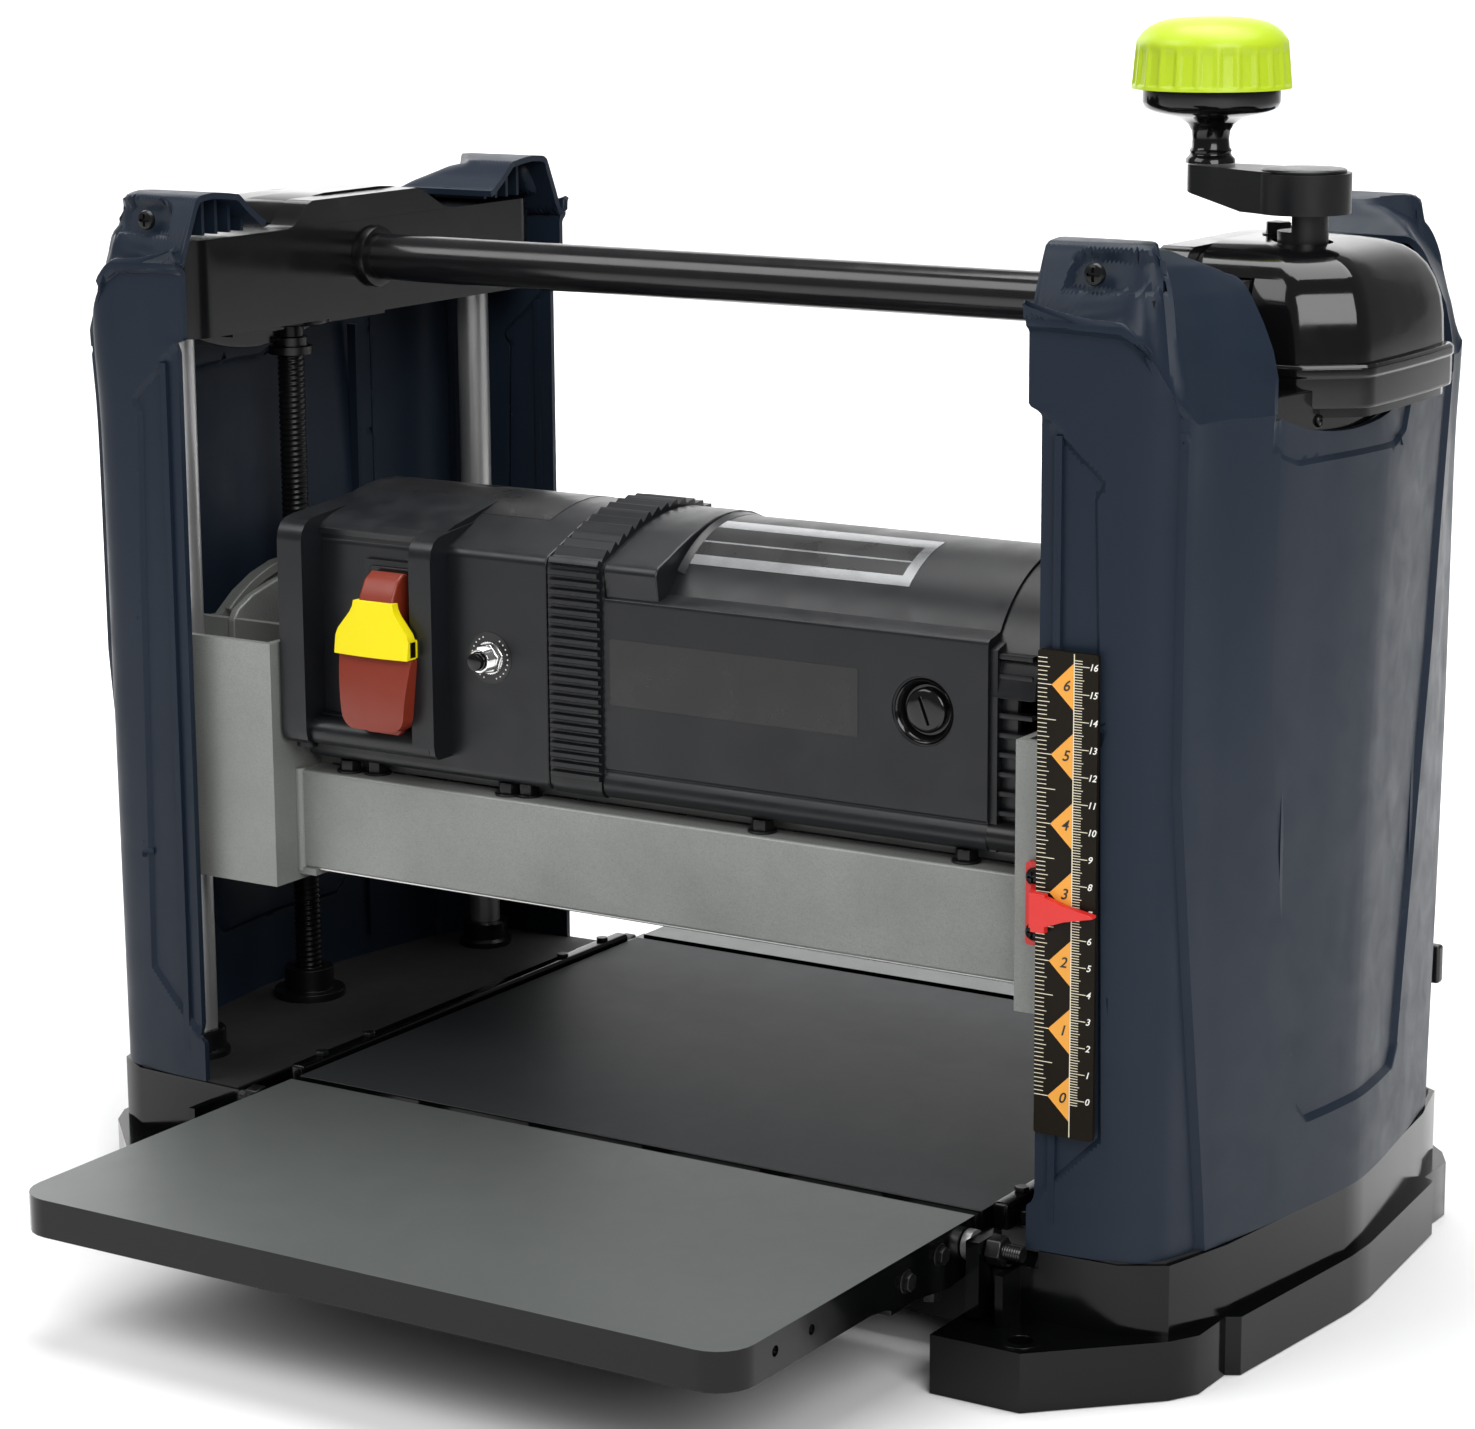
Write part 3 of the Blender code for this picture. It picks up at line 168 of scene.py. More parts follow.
def hammered(name, colour):
    """Cast metal under a silver-grey hammered paint: small dimples and bright flakes."""
    made, tree, shader, where = nodes_of(name)
    cells = tree.nodes.new("ShaderNodeTexVoronoi")
    cells.feature = "SMOOTH_F1"
    cells.inputs["Scale"].default_value = 620.0
    tree.links.new(where, cells.inputs["Vector"])
    flakes = noise(tree, where, 2400.0, 2.0)
    cloud = noise(tree, where, 22.0, 5.0)
    dark = tuple(c * 0.86 for c in colour)
    light = tuple(min(1.0, c * 1.10) for c in colour)
    base = blend(tree, ramp(tree, cloud, 0.0, 1.0), dark, light)
    base = blend(tree, ramp(tree, flakes, 0.0, 0.55, 0.42, 0.72), base, tuple(c * 0.72 for c in colour))
    tree.links.new(base, shader.inputs["Base Color"])
    tree.links.new(ramp(tree, flakes, 0.34, 0.56, 0.3, 0.7), shader.inputs["Roughness"])
    shader.inputs["Metallic"].default_value = 0.30
    bump(tree, shader, [(cells.outputs["Distance"], 0.30, 0.00025), (flakes, 0.15, 0.00005)])
    return made


def brushed(name, colour, rough, stretch, swing=0.08, metallic=1.0):
    """Bare ground or drawn steel, its grain along one axis."""
    made, tree, shader, where = nodes_of(name)
    lines = noise(tree, where, 900.0, 3.0, stretch)
    cloud = noise(tree, where, 30.0, 4.0)
    dark = tuple(c * 0.86 for c in colour)
    tree.links.new(blend(tree, ramp(tree, lines, 0.0, 1.0), dark, colour), shader.inputs["Base Color"])
    tree.links.new(ramp(tree, cloud, rough - swing, rough + swing), shader.inputs["Roughness"])
    shader.inputs["Metallic"].default_value = metallic
    bump(tree, shader, [(lines, 0.12, 0.00003)])
    return made


def printed(name, colour, rough=0.42):
    """Ink or a moulded colour on a small flat mark."""
    return worn(name, colour, rough, grain=1800.0, height=0.00001, shade=0.05)


FINISH = {
    "cover_slate": worn("slate_plastic", (0.0112, 0.0178, 0.0300), 0.40, grain=3200.0, height=0.00005,
                        strength=0.30, shade=0.06, specular=0.17),
    "black_gloss": worn("gloss_black_plastic", (0.0035, 0.0035, 0.004), 0.11, grain=900.0, height=0.00001,
                        shade=0.15, rough_swing=0.04, specular=0.42),
    "base_black": worn("black_paint", (0.0015, 0.0017, 0.0018), 0.13, grain=1100.0, strength=0.22,
                       shade=0.15, rough_swing=0.04, specular=0.26),
    "black_satin": worn("satin_black_paint", (0.0065, 0.0068, 0.0076), 0.32, grain=2400.0, shade=0.15,
                        specular=0.36),
    "bracket_black": worn("bracket_black_paint", (0.0040, 0.0041, 0.0045), 0.17, grain=2000.0,
                          height=0.00003, shade=0.1, rough_swing=0.03, specular=0.42),
    "tube_black": worn("tube_black_paint", (0.008, 0.008, 0.009), 0.16, grain=700.0, height=0.00001,
                       shade=0.1, rough_swing=0.04),
    "housing_black": worn("charcoal_plastic", (0.0052, 0.0060, 0.0078), 0.36, height=0.00006,
                          strength=0.35, shade=0.06, specular=0.42),
    "cast_silver": hammered("hammered_silver", (0.252, 0.262, 0.248)),
    "polished_steel": brushed("polished_steel", (0.46, 0.46, 0.46), 0.36, (1.0, 1.0, 0.02), 0.05, 0.75),
    "ground_steel": brushed("ground_steel", (0.58, 0.58, 0.57), 0.26, (0.02, 1.0, 1.0)),
    "chrome_steel": brushed("bright_chrome", (0.80, 0.80, 0.79), 0.10, (1.0, 1.0, 1.0), 0.04),
    "dark_steel": worn("oiled_steel", (0.045, 0.045, 0.046), 0.34, metallic=0.9, grain=1500.0, shade=0.25),
    "bolt_black": worn("blackened_bolt", (0.012, 0.0125, 0.0135), 0.30, metallic=0.6, grain=1500.0,
                       shade=0.2),
    "table_grey": worn("main_bed", (0.022, 0.0245, 0.027), 0.50, grain=1700.0, height=0.00003,
                       shade=0.02, rough_swing=0.015, specular=0.12, stretch=(1.0, 0.15, 1.0)),
    "table_sheet": worn("leaf_sheet", (0.092, 0.101, 0.098), 0.40, metallic=0.25, grain=1900.0,
                        height=0.00003, shade=0.02, rough_swing=0.02, sides=(0.0045, 0.0050, 0.0050)),
    "rubber_black": worn("rubber", (0.013, 0.013, 0.013), 0.72, grain=1400.0, height=0.00010, strength=0.4),
    "switch_red": worn("paddle_red", (0.200, 0.022, 0.008), 0.42, grain=1600.0, height=0.00003, shade=0.06),
    "key_yellow": worn("key_yellow", (0.830, 0.700, 0.004), 0.36, grain=1600.0, height=0.00003, shade=0.04),
    "pointer_red": worn("pointer_red", (0.660, 0.022, 0.018), 0.36, grain=1500.0, height=0.00002,
                        shade=0.05),
    "knob_lime": worn("knob_lime", (0.430, 0.580, 0.014), 0.40, grain=1900.0, shade=0.04, specular=0.45),
    "scale_black": worn("scale_plate", (0.0075, 0.0050, 0.0022), 0.42, grain=1200.0, height=0.00001,
                        shade=0.10, specular=0.15),
    "label_black": worn("blank_label", (0.009, 0.009, 0.010), 0.30, grain=1200.0, height=0.00001,
                        shade=0.10),
    "copper": worn("wound_copper", (0.42, 0.17, 0.07), 0.34, metallic=0.9, grain=1200.0, height=0.0002,
                   strength=0.5, stretch=(0.1, 1.0, 1.0)),
    "print_cream": printed("print_cream", (0.78, 0.72, 0.55)),
    "print_white": printed("print_white", (0.80, 0.79, 0.74)),
    "print_orange": printed("print_orange", (0.78, 0.34, 0.040)),
    "label_silver": worn("blank_silver_label", (0.42, 0.43, 0.44), 0.22, metallic=0.7, grain=700.0,
                         height=0.00001, shade=0.18),
    "dark_hole": worn("shadowed_inside", (0.004, 0.004, 0.004), 0.9, shade=0.1),
}

# ---------------------------------------------------------------- shapes


def linked(data, name):
    """A new object in the scene that shows this mesh, curve, light or camera."""
    made = bpy.data.objects.new(name, data)
    bpy.context.scene.collection.objects.link(made)
    return made


def mesh_object(bm, name="shape"):
    """An object from a bmesh, its faces turned outwards."""
    bmesh.ops.recalc_face_normals(bm, faces=bm.faces)
    mesh = bpy.data.meshes.new(name)
    bm.to_mesh(mesh)
    bm.free()
    return linked(mesh, name)


def placed(axis, along, a, b):
    """A point in metres from its place along an axis and its two others, in order."""
    point = {"x": (along, a, b), "y": (a, along, b), "z": (a, b, along)}[axis]
    return Vector(point) * MM


def loft(rings):
    """A closed skin over rings of points in metres, each ring with the same number of points."""
    bm = bmesh.new()
    rows = [[bm.verts.new(p) for p in ring] for ring in rings]
    count = len(rows[0])
    for lower, upper in zip(rows, rows[1:]):
        for i in range(count):
            j = (i + 1) % count
            bm.faces.new((lower[i], lower[j], upper[j], upper[i]))
    bm.faces.new(rows[0])
    bm.faces.new(rows[-1])
    return mesh_object(bm)


def prism(outline, axis, low, high):
    """The outline carried straight along an axis, from low to high."""
    return loft([[placed(axis, along, *p) for p in outline] for along in (low, high)])


def corners(a_low, a_high, b_low, b_high):
    """The outline of a plain rectangle."""
    return [(a_low, b_low), (a_high, b_low), (a_high, b_high), (a_low, b_high)]


def box(x_low, x_high, y_low, y_high, z_low, z_high):
    """A block between three pairs of places."""
    return prism(corners(x_low, x_high, y_low, y_high), "z", z_low, z_high)


def arc(centre, radius, start, end, steps):
    """Points on an arc, angles in degrees."""
    angles = [math.radians(start + (end - start) * i / steps) for i in range(steps + 1)]
    return [(centre[0] + radius * math.cos(t), centre[1] + radius * math.sin(t)) for t in angles]


def circle(centre, radius, sides, turn=0.0):
    """A regular polygon round a place, its first point at that turn."""
    return arc(centre, radius, turn, turn + 360.0, sides)[:-1]


def rod(axis, centre, radius, low, high, sides=48):
    """A plain cylinder along an axis."""
    return prism(circle(centre, radius, sides), axis, low, high)


def lathe(axis, centre, profile, sides=64):
    """A solid turned about an axis through centre, from (radius, along) points."""
    return loft([[placed(axis, along, *p) for p in circle(centre, max(radius, 0.02), sides)]
                 for radius, along in profile])


def hexagon(axis, centre, across, low, high, turn=0.0):
    """A nut or a bolt head, that far across its flats, with its corners chamfered."""
    made = prism(circle(centre, across / math.sqrt(3.0), 6, turn), axis, low, high)
    return shaped(made, bevel=across * 0.05, segments=1)


def rounded(x_low, x_high, y_low, y_high, radius, steps=6):
    """A rectangle with round corners."""
    points = []
    for cx, cy, start in (
        (x_high - radius, y_high - radius, 0),
        (x_low + radius, y_high - radius, 90),
        (x_low + radius, y_low + radius, 180),
        (x_high - radius, y_low + radius, 270),
    ):
        points += arc((cx, cy), radius, start, start + 90, steps)
    return points


def side_of(outline, side):
    """The outline as drawn for the right (1), or mirrored for the left (-1)."""
    return [(side * a, b) for a, b in outline]


def both_ways(points):
    """The outline continued by its mirror image in the second coordinate."""
    return list(points) + [(a, -b) for a, b in reversed(points)]


def span(side, near, far):
    """Two places on the right (1) or the left (-1), as low and high."""
    return sorted((side * near, side * far))


def drop(obj):
    """Removes a helper shape and its mesh."""
    mesh = obj.data
    bpy.data.objects.remove(obj)
    if mesh.users == 0:
        bpy.data.meshes.remove(mesh)


def fixed(obj):
    """Puts the object's modifiers into its mesh."""
    graph = bpy.context.evaluated_depsgraph_get()
    mesh = bpy.data.meshes.new_from_object(obj.evaluated_get(graph))
    old = obj.data
    obj.modifiers.clear()
    obj.data = mesh
    bpy.data.meshes.remove(old)
    return obj


def shaped(base, joined=(), cut=(), bevel=0.0, segments=3, angle=32.0):
    """base with shapes added, shapes taken away, and its edges then rounded."""
    for operation, others in (("UNION", joined), ("DIFFERENCE", cut)):
        for other in others:
            modifier = base.modifiers.new(operation, "BOOLEAN")
            modifier.operation = operation
            modifier.solver = "EXACT"
            modifier.object = other
    if joined or cut:
        fixed(base)
        for other in (*joined, *cut):
            drop(other)
    if bevel:
        weld(base)
        modifier = base.modifiers.new("edges", "BEVEL")
        modifier.width = bevel * MM
        modifier.segments = segments
        modifier.limit_method = "ANGLE"
        modifier.angle_limit = math.radians(angle)
        modifier.miter_outer = "MITER_ARC"
        fixed(base)
    return base


def overlap(base, other):
    """What base and another shape share."""
    modifier = base.modifiers.new("overlap", "BOOLEAN")
    modifier.operation = "INTERSECT"
    modifier.solver = "EXACT"
    modifier.object = other
    fixed(base)
    drop(other)
    return base


def weld(obj):
    """Joins points that share a place, and makes flat stretches one face each."""
    bm = bmesh.new()
    bm.from_mesh(obj.data)
    bmesh.ops.remove_doubles(bm, verts=bm.verts, dist=0.000005)
    bmesh.ops.dissolve_limit(bm, angle_limit=math.radians(0.5), verts=bm.verts, edges=bm.edges)
    bm.to_mesh(obj.data)
    bm.free()


def group(*parts):
    """Several shapes as one object, each still its own shell."""
    bm = bmesh.new()
    for part in parts:
        bm.from_mesh(part.data)
        drop(part)
    return mesh_object(bm)


def shade(obj, angle=38.0, weighted=True):
    """Smooth shading, with the edges over that angle kept sharp."""
    mesh = obj.data
    mesh.shade_smooth()
    mesh.set_sharp_from_angle(angle=math.radians(angle))
    if weighted:
        modifier = obj.modifiers.new("normals", "WEIGHTED_NORMAL")
        modifier.keep_sharp = True
        fixed(obj)


def piece(name, obj, finish, body, replaces=(), smooth=38.0, weighted=True):
    """Names a finished shape, gives it its finish, and lets it ride its body in place of CAD nodes."""
    obj.name = name
    obj.data.name = name
    obj.data.materials.clear()
    obj.data.materials.append(FINISH[finish])
    shade(obj, smooth, weighted)
    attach(obj, body)
    if replaces:
        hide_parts(*replaces)
    return obj


def rounded_copy(node, bevel, segments=2, angle=32.0, joined=(), cut=()):
    """A copy of a CAD node with its edges rounded, not yet a piece."""
    made = linked(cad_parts[node].data.copy(), node + "_copy")
    weld(made)
    return shaped(made, joined, cut, bevel, segments, angle)


def refined(node, bevel, finish, body, *how, **more):
    """A rounded copy of a CAD node, shown in the node's place."""
    return piece(node + "_fine", rounded_copy(node, bevel, *how, **more), finish, body, [node])


# ---------------------------------------------------------------- post covers

COVER_BOTTOM = 50.3
COVER_WALL = 2.6
WINDOW_HALF = 77.0
WINDOW_BOTTOM = 354.5
COVER_STEP = 1.5
FRONT_PLAN = [
    (197.5, -136.5),
    (215.0, -135.4),
    (229.0, -133.4),
    (238.5, -129.4),
    (245.5, -122.5),
    (249.6, -113.0),
    (252.6, -101.0),
    (255.2, -88.0),
    (259.3, -66.0),
    (262.6, -45.0),
    (265.6, -25.0),
    (267.4, -8.0),
    (267.8, 0.0),
]
FRONT_PANEL = [(-9, 391), (31, 389), (44, 381.6), (50, 373), (54.5, 361), (55, 333), (55, 228), (62, 156),
               (72, 68), (74, 40), (-9, 40)]
SCALE_STRIP = [(-9, 361), (0.5, 360), (26, 336), (22.5, 330), (24.5, 262), (27, 96), (-2, 67), (-9, 65)]
SIDE_PANEL = [(-76, 345), (-73, 250), (-60, 160), (-47, 91), (-40, 84), (40, 84), (47, 91), (60, 160),
              (73, 250), (76, 345), (76, 400), (-76, 400)]
DIP_PAD = [(-80, 366), (-80, 345), (-72, 340), (-62, 336.5), (6, 335.5), (17, 340), (20, 349), (20, 366)]
POCKET = [(203.0, 402.8), (204.5, 413.0), (209, 416.4), (232, 415.6), (252, 411.0), (257, 406.5),
          (253, 402.8)]
POCKET_DEPTH = 3.2
PANEL_DEPTH, STRIP_DEPTH, SIDE_DEPTH, PAD_DEPTH = 3.0, 1.6, 2.2, 1.4
PANEL_SLOPE, STRIP_SLOPE, SIDE_SLOPE, PAD_SLOPE = 2.0, 1.6, 2.4, 2.0
DIP_Y, DIP_Z, DIP_RADIUS = -27.0, 468.5, 121.4
# Heights of an ear's top: by the distance from its front and from its flank, and a limit by y.
ROOF_FRONT = ([0, 3, 11.5, 14, 40], [391.5, 399.5, 418.5, 420.5, 424])
ROOF_FLANK = ([0, 1.5, 4, 8, 13, 20, 28, 40, 60], [357, 368, 380, 390, 400, 410, 415, 419, 423])
ROOF_LIMIT = ([76, 80, 88, 95, 112, 125, 140], [405.5, 406.0, 411.5, 417.5, 420.0, 419.3, 418.5])
EAR_BOTTOM = 357.0
RIM_HEIGHT = 366.0
LOWER_ROWS, UPPER_ROWS, ROOF_ROWS = 200, 32, 64


def smooth_line(points, step):
    """A Catmull-Rom line through points, resampled at about that step."""
    p = np.array([points[0], *points, points[-1]], float)
    dense = []
    for a, b, c, d in zip(p, p[1:], p[2:], p[3:]):
        for t in np.linspace(0.0, 1.0, 40, endpoint=False):
            dense.append(0.5 * (2 * b + (c - a) * t + (2 * a - 5 * b + 4 * c - d) * t**2
                                + (3 * b - a - 3 * c + d) * t**3))
    dense = np.array([*dense, p[-1]])
    run = np.concatenate([[0.0], np.cumsum(np.linalg.norm(np.diff(dense, axis=0), axis=1))])
    wanted = np.linspace(0.0, run[-1], max(2, round(run[-1] / step)) + 1)
    return np.stack([np.interp(wanted, run, dense[:, i]) for i in (0, 1)], axis=1), wanted


def inside(x, y, outline):
    """Signed distance to an outline, positive inside."""
    points = np.array(outline, float)
    best = np.full(np.broadcast(x, y).shape, 1e9)
    within = np.zeros(best.shape, bool)
    for (ax, ay), (bx, by) in zip(points, np.roll(points, -1, axis=0)):
        dx, dy = bx - ax, by - ay
        t = np.clip(((x - ax) * dx + (y - ay) * dy) / (dx * dx + dy * dy), 0, 1)
        best = np.minimum(best, np.hypot(x - ax - t * dx, y - ay - t * dy))
        crosses = (ay > y) != (by > y)
        cut_at = ax + (y - ay) * dx / (dy if abs(dy) > 1e-9 else 1e-9)
        within ^= crosses & (x < cut_at)
    return np.where(within, best, -best)


def step(value, width):
    """0 to 1 over a width centred on zero, with soft ends."""
    t = np.clip(value / width + 0.5, 0.0, 1.0)
    return t * t * (3 - 2 * t)


def soft_min(a, b, radius):
    """The lower of two heights, blended where they are within radius of each other."""
    h = np.clip(0.5 + 0.5 * (b - a) / radius, 0.0, 1.0)
    return b * (1 - h) + a * h - radius * h * (1 - h)


class Cover:
    """A post cover as a skin: walls that follow its plan, and two closed ears above the bracket."""

    def __init__(self, side):
        self.side = side
        line, run = smooth_line(FRONT_PLAN, COVER_STEP)
        self.plan = np.concatenate([line[:-1], (line * (1, -1))[::-1]])
        self.run = np.concatenate([run[:-1], 2 * run[-1] - run[::-1]])
        self.length = self.run[-1]
        along = np.gradient(self.plan, axis=0)
        normal = np.stack([along[:, 1], -along[:, 0]], axis=1)
        self.normal = normal / np.linalg.norm(normal, axis=1)[:, None]

    def near(self, u):
        """Run from the nearer of the two inner edges."""
        return np.minimum(u, self.length - u)

    def flare(self, s, z):
        """How far the wall leans out at a place along it and a height."""
        high = np.clip((z - 50.0) / 307.0, 0.0, 1.15)
        corner = np.exp(-(((s - 50.0) / 13.0) ** 2))
        flank = step(s - 84.0, 50.0)
        extra = 3.0 if self.side < 0 else 0.6
        bulge = np.exp(-(((z - 362.0) / 26.0) ** 2)) * 1.6
        return corner * (extra + 1.6 * high + bulge) + flank * 8.0 * high**2.2

    def marks(self):
        """Each recess: its depth, the width of its slope, and the distance inside its outline."""

        def along(outline):
            return lambda u, z: inside(self.near(u), z, outline)

        def across(outline):
            return lambda u, z: inside(np.interp(u, self.run, self.plan[:, 1]), z, outline)

        return [
            (PANEL_DEPTH, PANEL_SLOPE, along(FRONT_PANEL)),
            (STRIP_DEPTH, STRIP_SLOPE, along(SCALE_STRIP)),
            (SIDE_DEPTH, SIDE_SLOPE, across(SIDE_PANEL)),
            (PAD_DEPTH, PAD_SLOPE, across(DIP_PAD)),
        ]

    def snapped(self, u, z, free):
        """Moves the free points of the grid that lie near a crease on to it."""
        shift = 0.05
        for _, slope, depth_in in self.marks():
            for edge in (0.0, slope):
                d = depth_in(u, z)
                du = (depth_in(u + shift, z) - depth_in(u - shift, z)) / (2 * shift)
                dz = (depth_in(u, z + shift) - depth_in(u, z - shift)) / (2 * shift)
                size = np.maximum(du * du + dz * dz, 0.2)
                move = (np.abs(edge - d) < 0.56 * COVER_STEP) & free & (size > 0.5)
                u = np.where(move, u + (edge - d) * du / size, u)
                z = np.where(move, z + (edge - d) * dz / size, z)
                free = free & ~move
        return u, z

    def wall(self, u, z):
        """Points (x, y, z) of the wall at places along it and heights, of the same shape."""
        u = u + 0.0 * z
        z = z + 0.0 * u
        s = self.near(u)
        out = self.flare(s, z)
        for depth, slope, depth_in in self.marks():
            out = out - depth * np.clip(depth_in(u, z) / slope, 0.0, 1.0)
        x, y = [np.interp(u, self.run, self.plan[:, i]) + out * np.interp(u, self.run, self.normal[:, i])
                for i in (0, 1)]
        lip = np.maximum(step(z - 361.0, 3.0) * 4.6, step(68.0 - z, 3.0) * 2.6)
        return np.stack([x - lip * np.clip(1 - s / 14.0, 0, 1), y, z], axis=-1)

    def roof(self, x, y):
        """Height of an ear's top over a place in plan, from its distance to the wall."""
        rim = self.rim
        far = np.hypot(x[..., None] - rim[:, 0], y[..., None] - rim[:, 1])
        which = far.argmin(axis=-1)
        d = far.min(axis=-1)
        s = self.near(self.run)[which]
        front = np.interp(d, *ROOF_FRONT)
        flank = np.interp(d, *ROOF_FLANK)
        share = step(s - 46.0, 30.0)
        return soft_min(front * (1 - share) + flank * share, np.interp(np.abs(y), *ROOF_LIMIT), 5.0)

    def heights(self, ear):
        """Heights of the wall's grid by row and column, and the points that may move to a crease."""
        sag = DIP_RADIUS + 1.2
        across = np.clip(np.abs(self.plan[:, 1] - DIP_Y), 0, sag)
        middle = np.minimum(WINDOW_BOTTOM, DIP_Z - np.sqrt(sag * sag - across * across))
        top = np.maximum(self.roof(self.rim[:, 0], self.rim[:, 1]), EAR_BOTTOM)
        share = np.linspace(0.0, 1.0, LOWER_ROWS)[:, None]
        lower = COVER_BOTTOM + (middle[None, :] - COVER_BOTTOM) * share
        share = np.linspace(0.0, 1.0, UPPER_ROWS)[1:, None]
        upper = middle[None, :] + (top[None, :] - middle[None, :]) * share
        free = np.ones((len(lower) + len(upper), len(self.run)), bool)
        free[:, :2] = free[:, -2:] = False
        free[:2] = free[-2:] = False
        free[LOWER_ROWS - 2:, ~ear] = False
        free[LOWER_ROWS - 2:LOWER_ROWS + 1] = False
        return np.concatenate([lower, upper]), free

    def build(self):
        """The whole skin, as one object."""
        y = self.plan[:, 1]
        ear = np.abs(y) >= WINDOW_HALF - 0.8
        self.rim = self.wall(self.run, np.full(self.run.shape, RIM_HEIGHT))[:, :2]
        heights, free = self.heights(ear)
        places = np.broadcast_to(self.run[None, :], heights.shape)
        walls = self.wall(*self.snapped(places, heights, free))
        bm = bmesh.new()
        grid = [[None] * walls.shape[1] for _ in walls]
        for r, row in enumerate(walls):
            for c, (px, py, pz) in enumerate(row):
                if r < LOWER_ROWS or ear[c]:
                    grid[r][c] = bm.verts.new((self.side * px * MM, py * MM, pz * MM))
        for lower, upper in zip(grid, grid[1:]):
            for c in range(walls.shape[1] - 1):
                quad = [lower[c], lower[c + 1], upper[c + 1], upper[c]]
                if all(quad):
                    bm.faces.new(quad if self.side > 0 else quad[::-1])
        for end in (-1, 1):
            columns = [c for c in range(len(y)) if ear[c] and end * y[c] > 0][::-end]
            self.add_roof(bm, grid[-1], walls[-1], columns, end)
        skin = bpy.data.meshes.new("skin")
        bm.to_mesh(skin)
        bm.free()
        made = linked(skin, "skin")
        modifier = made.modifiers.new("wall", "SOLIDIFY")
        modifier.thickness = COVER_WALL * MM
        modifier.offset = -1.0
        return fixed(made)

    def add_roof(self, bm, top_verts, top_points, columns, end):
        """The ear's top: from each column of the wall to the inner edges, over the plan."""
        outer = top_points[columns]
        start, stop = outer[0], outer[-1]
        corner = np.array([start[0], stop[1]])
        share = np.linspace(0.0, 1.0, len(columns))
        path = np.array([start[:2] * (1 - 2 * t) + corner * 2 * t if t < 0.5
                         else corner * (2 - 2 * t) + stop[:2] * (2 * t - 1) for t in share])
        t = np.linspace(0.0, 1.0, ROOF_ROWS)[1:, None] ** 1.5
        x = outer[None, :, 0] * (1 - t) + path[None, :, 0] * t
        y = outer[None, :, 1] * (1 - t) + path[None, :, 1] * t
        z = self.roof(x, y)
        ease = 1 - (1 - np.clip(t * 6.0, 0, 1)) ** 2
        z = np.maximum(z * ease + outer[None, :, 2] * (1 - ease), np.minimum(z, outer[None, :, 2]))
        sunk = np.clip(inside(x, z, POCKET) / 1.4, 0.0, 1.0) * (np.abs(y) > 116.0) * POCKET_DEPTH
        y = y - np.sign(y) * sunk * 0.92
        z = z - sunk * 0.38
        rows = [[top_verts[c] for c in columns]]
        for i in range(ROOF_ROWS - 1):
            rows.append([bm.verts.new((self.side * x[i, j] * MM, y[i, j] * MM, z[i, j] * MM))
                         for j in range(len(columns))])
        flip = (end > 0) != (self.side < 0)
        for lower, upper in zip(rows, rows[1:]):
            for j in range(len(columns) - 1):
                quad = [lower[j], lower[j + 1], upper[j + 1], upper[j]]
                bm.faces.new(quad[::-1] if flip else quad)

    def ribs(self):
        """Plates under each ear, seen as bars between slots from the inside."""
        parts = []
        for end in (-1, 1):
            for k in range(4):
                y = end * (85.0 + 8.2 * k)
                xs = np.linspace(200.5, 228.0, 12)
                tops = self.roof(xs, np.full(xs.shape, y)) - 2.6
                outline = [(x, 401.5) for x in (228.0, 200.5)] + list(zip(xs, np.maximum(tops, 402.5)))
                parts.append(prism(side_of(outline, self.side), "y", y - 0.9, y + 0.9))
        return parts


def pan_screw(axis, centre, radius, seat, out, height=1.8):
    """A round screw head with a cross recess; out is +1 or -1 along the axis."""
    profile = [(0.98, 0.0), (1.0, 0.35), (0.86, 0.78), (0.5, 1.0)]
    head = lathe(axis, centre, [(radius * r, seat + out * height * h) for r, h in profile], 24)
    low, high = sorted((seat + out * height * 0.45, seat + out * (height + 1)))
    cross = []
    for wide, tall in ((radius * 0.62, radius * 0.14), (radius * 0.14, radius * 0.62)):
        bar = corners(centre[0] - wide, centre[0] + wide, centre[1] - tall, centre[1] + tall)
        cross.append(prism(bar, axis, low, high))
    return shaped(head, cut=cross)


def make_covers():
    """Both post covers with their inner ribs, stiffeners and top screws."""
    for side, word in SIDES:
        cover = Cover(side)
        replaced = [f"{word}_post_cover"]
        piece(f"{word}_cover_skin", cover.build(), "cover_slate", "frame", replaced, 24, False)
        piece(f"{word}_cover_ribs", group(*cover.ribs()), "cover_slate", "frame")
        screws = [pan_screw("y", (side * 215.0, 408.6), 4.1, end * -126.6, -end, 2.4) for end in (1, -1)]
        piece(f"{word}_cover_screws", group(*screws), "bolt_black", "frame")
        inner = []
        for end in (-1, 1):
            inner.append(box(*span(side, 203.0, 206.0), *span(end, 128.0, 133.2), 62.0, 352.0))
        for y in (-60.0, 60.0):
            inner.append(box(*span(side, 255.5, 260.0), y - 1.2, y + 1.2, 60.0, 345.0))
        piece(f"{word}_cover_stiffeners", group(*inner), "cover_slate", "frame")


# ---------------------------------------------------------------- caps, brackets and columns

CAP_SHOULDER = [(0.0, 351.5), (0.0, 372.0), (0.4, 382.0), (1.4, 389.0), (3.2, 395.0), (6.0, 400.5),
                (9.5, 404.5), (14.0, 407.6), (20.0, 409.6), (28.0, 410.8), (37.0, 411.5)]
CAP_Y, CAP_HALF, CAP_SIDE, CAP_BEND = 3.7, 53.0, 277.6, 16.0


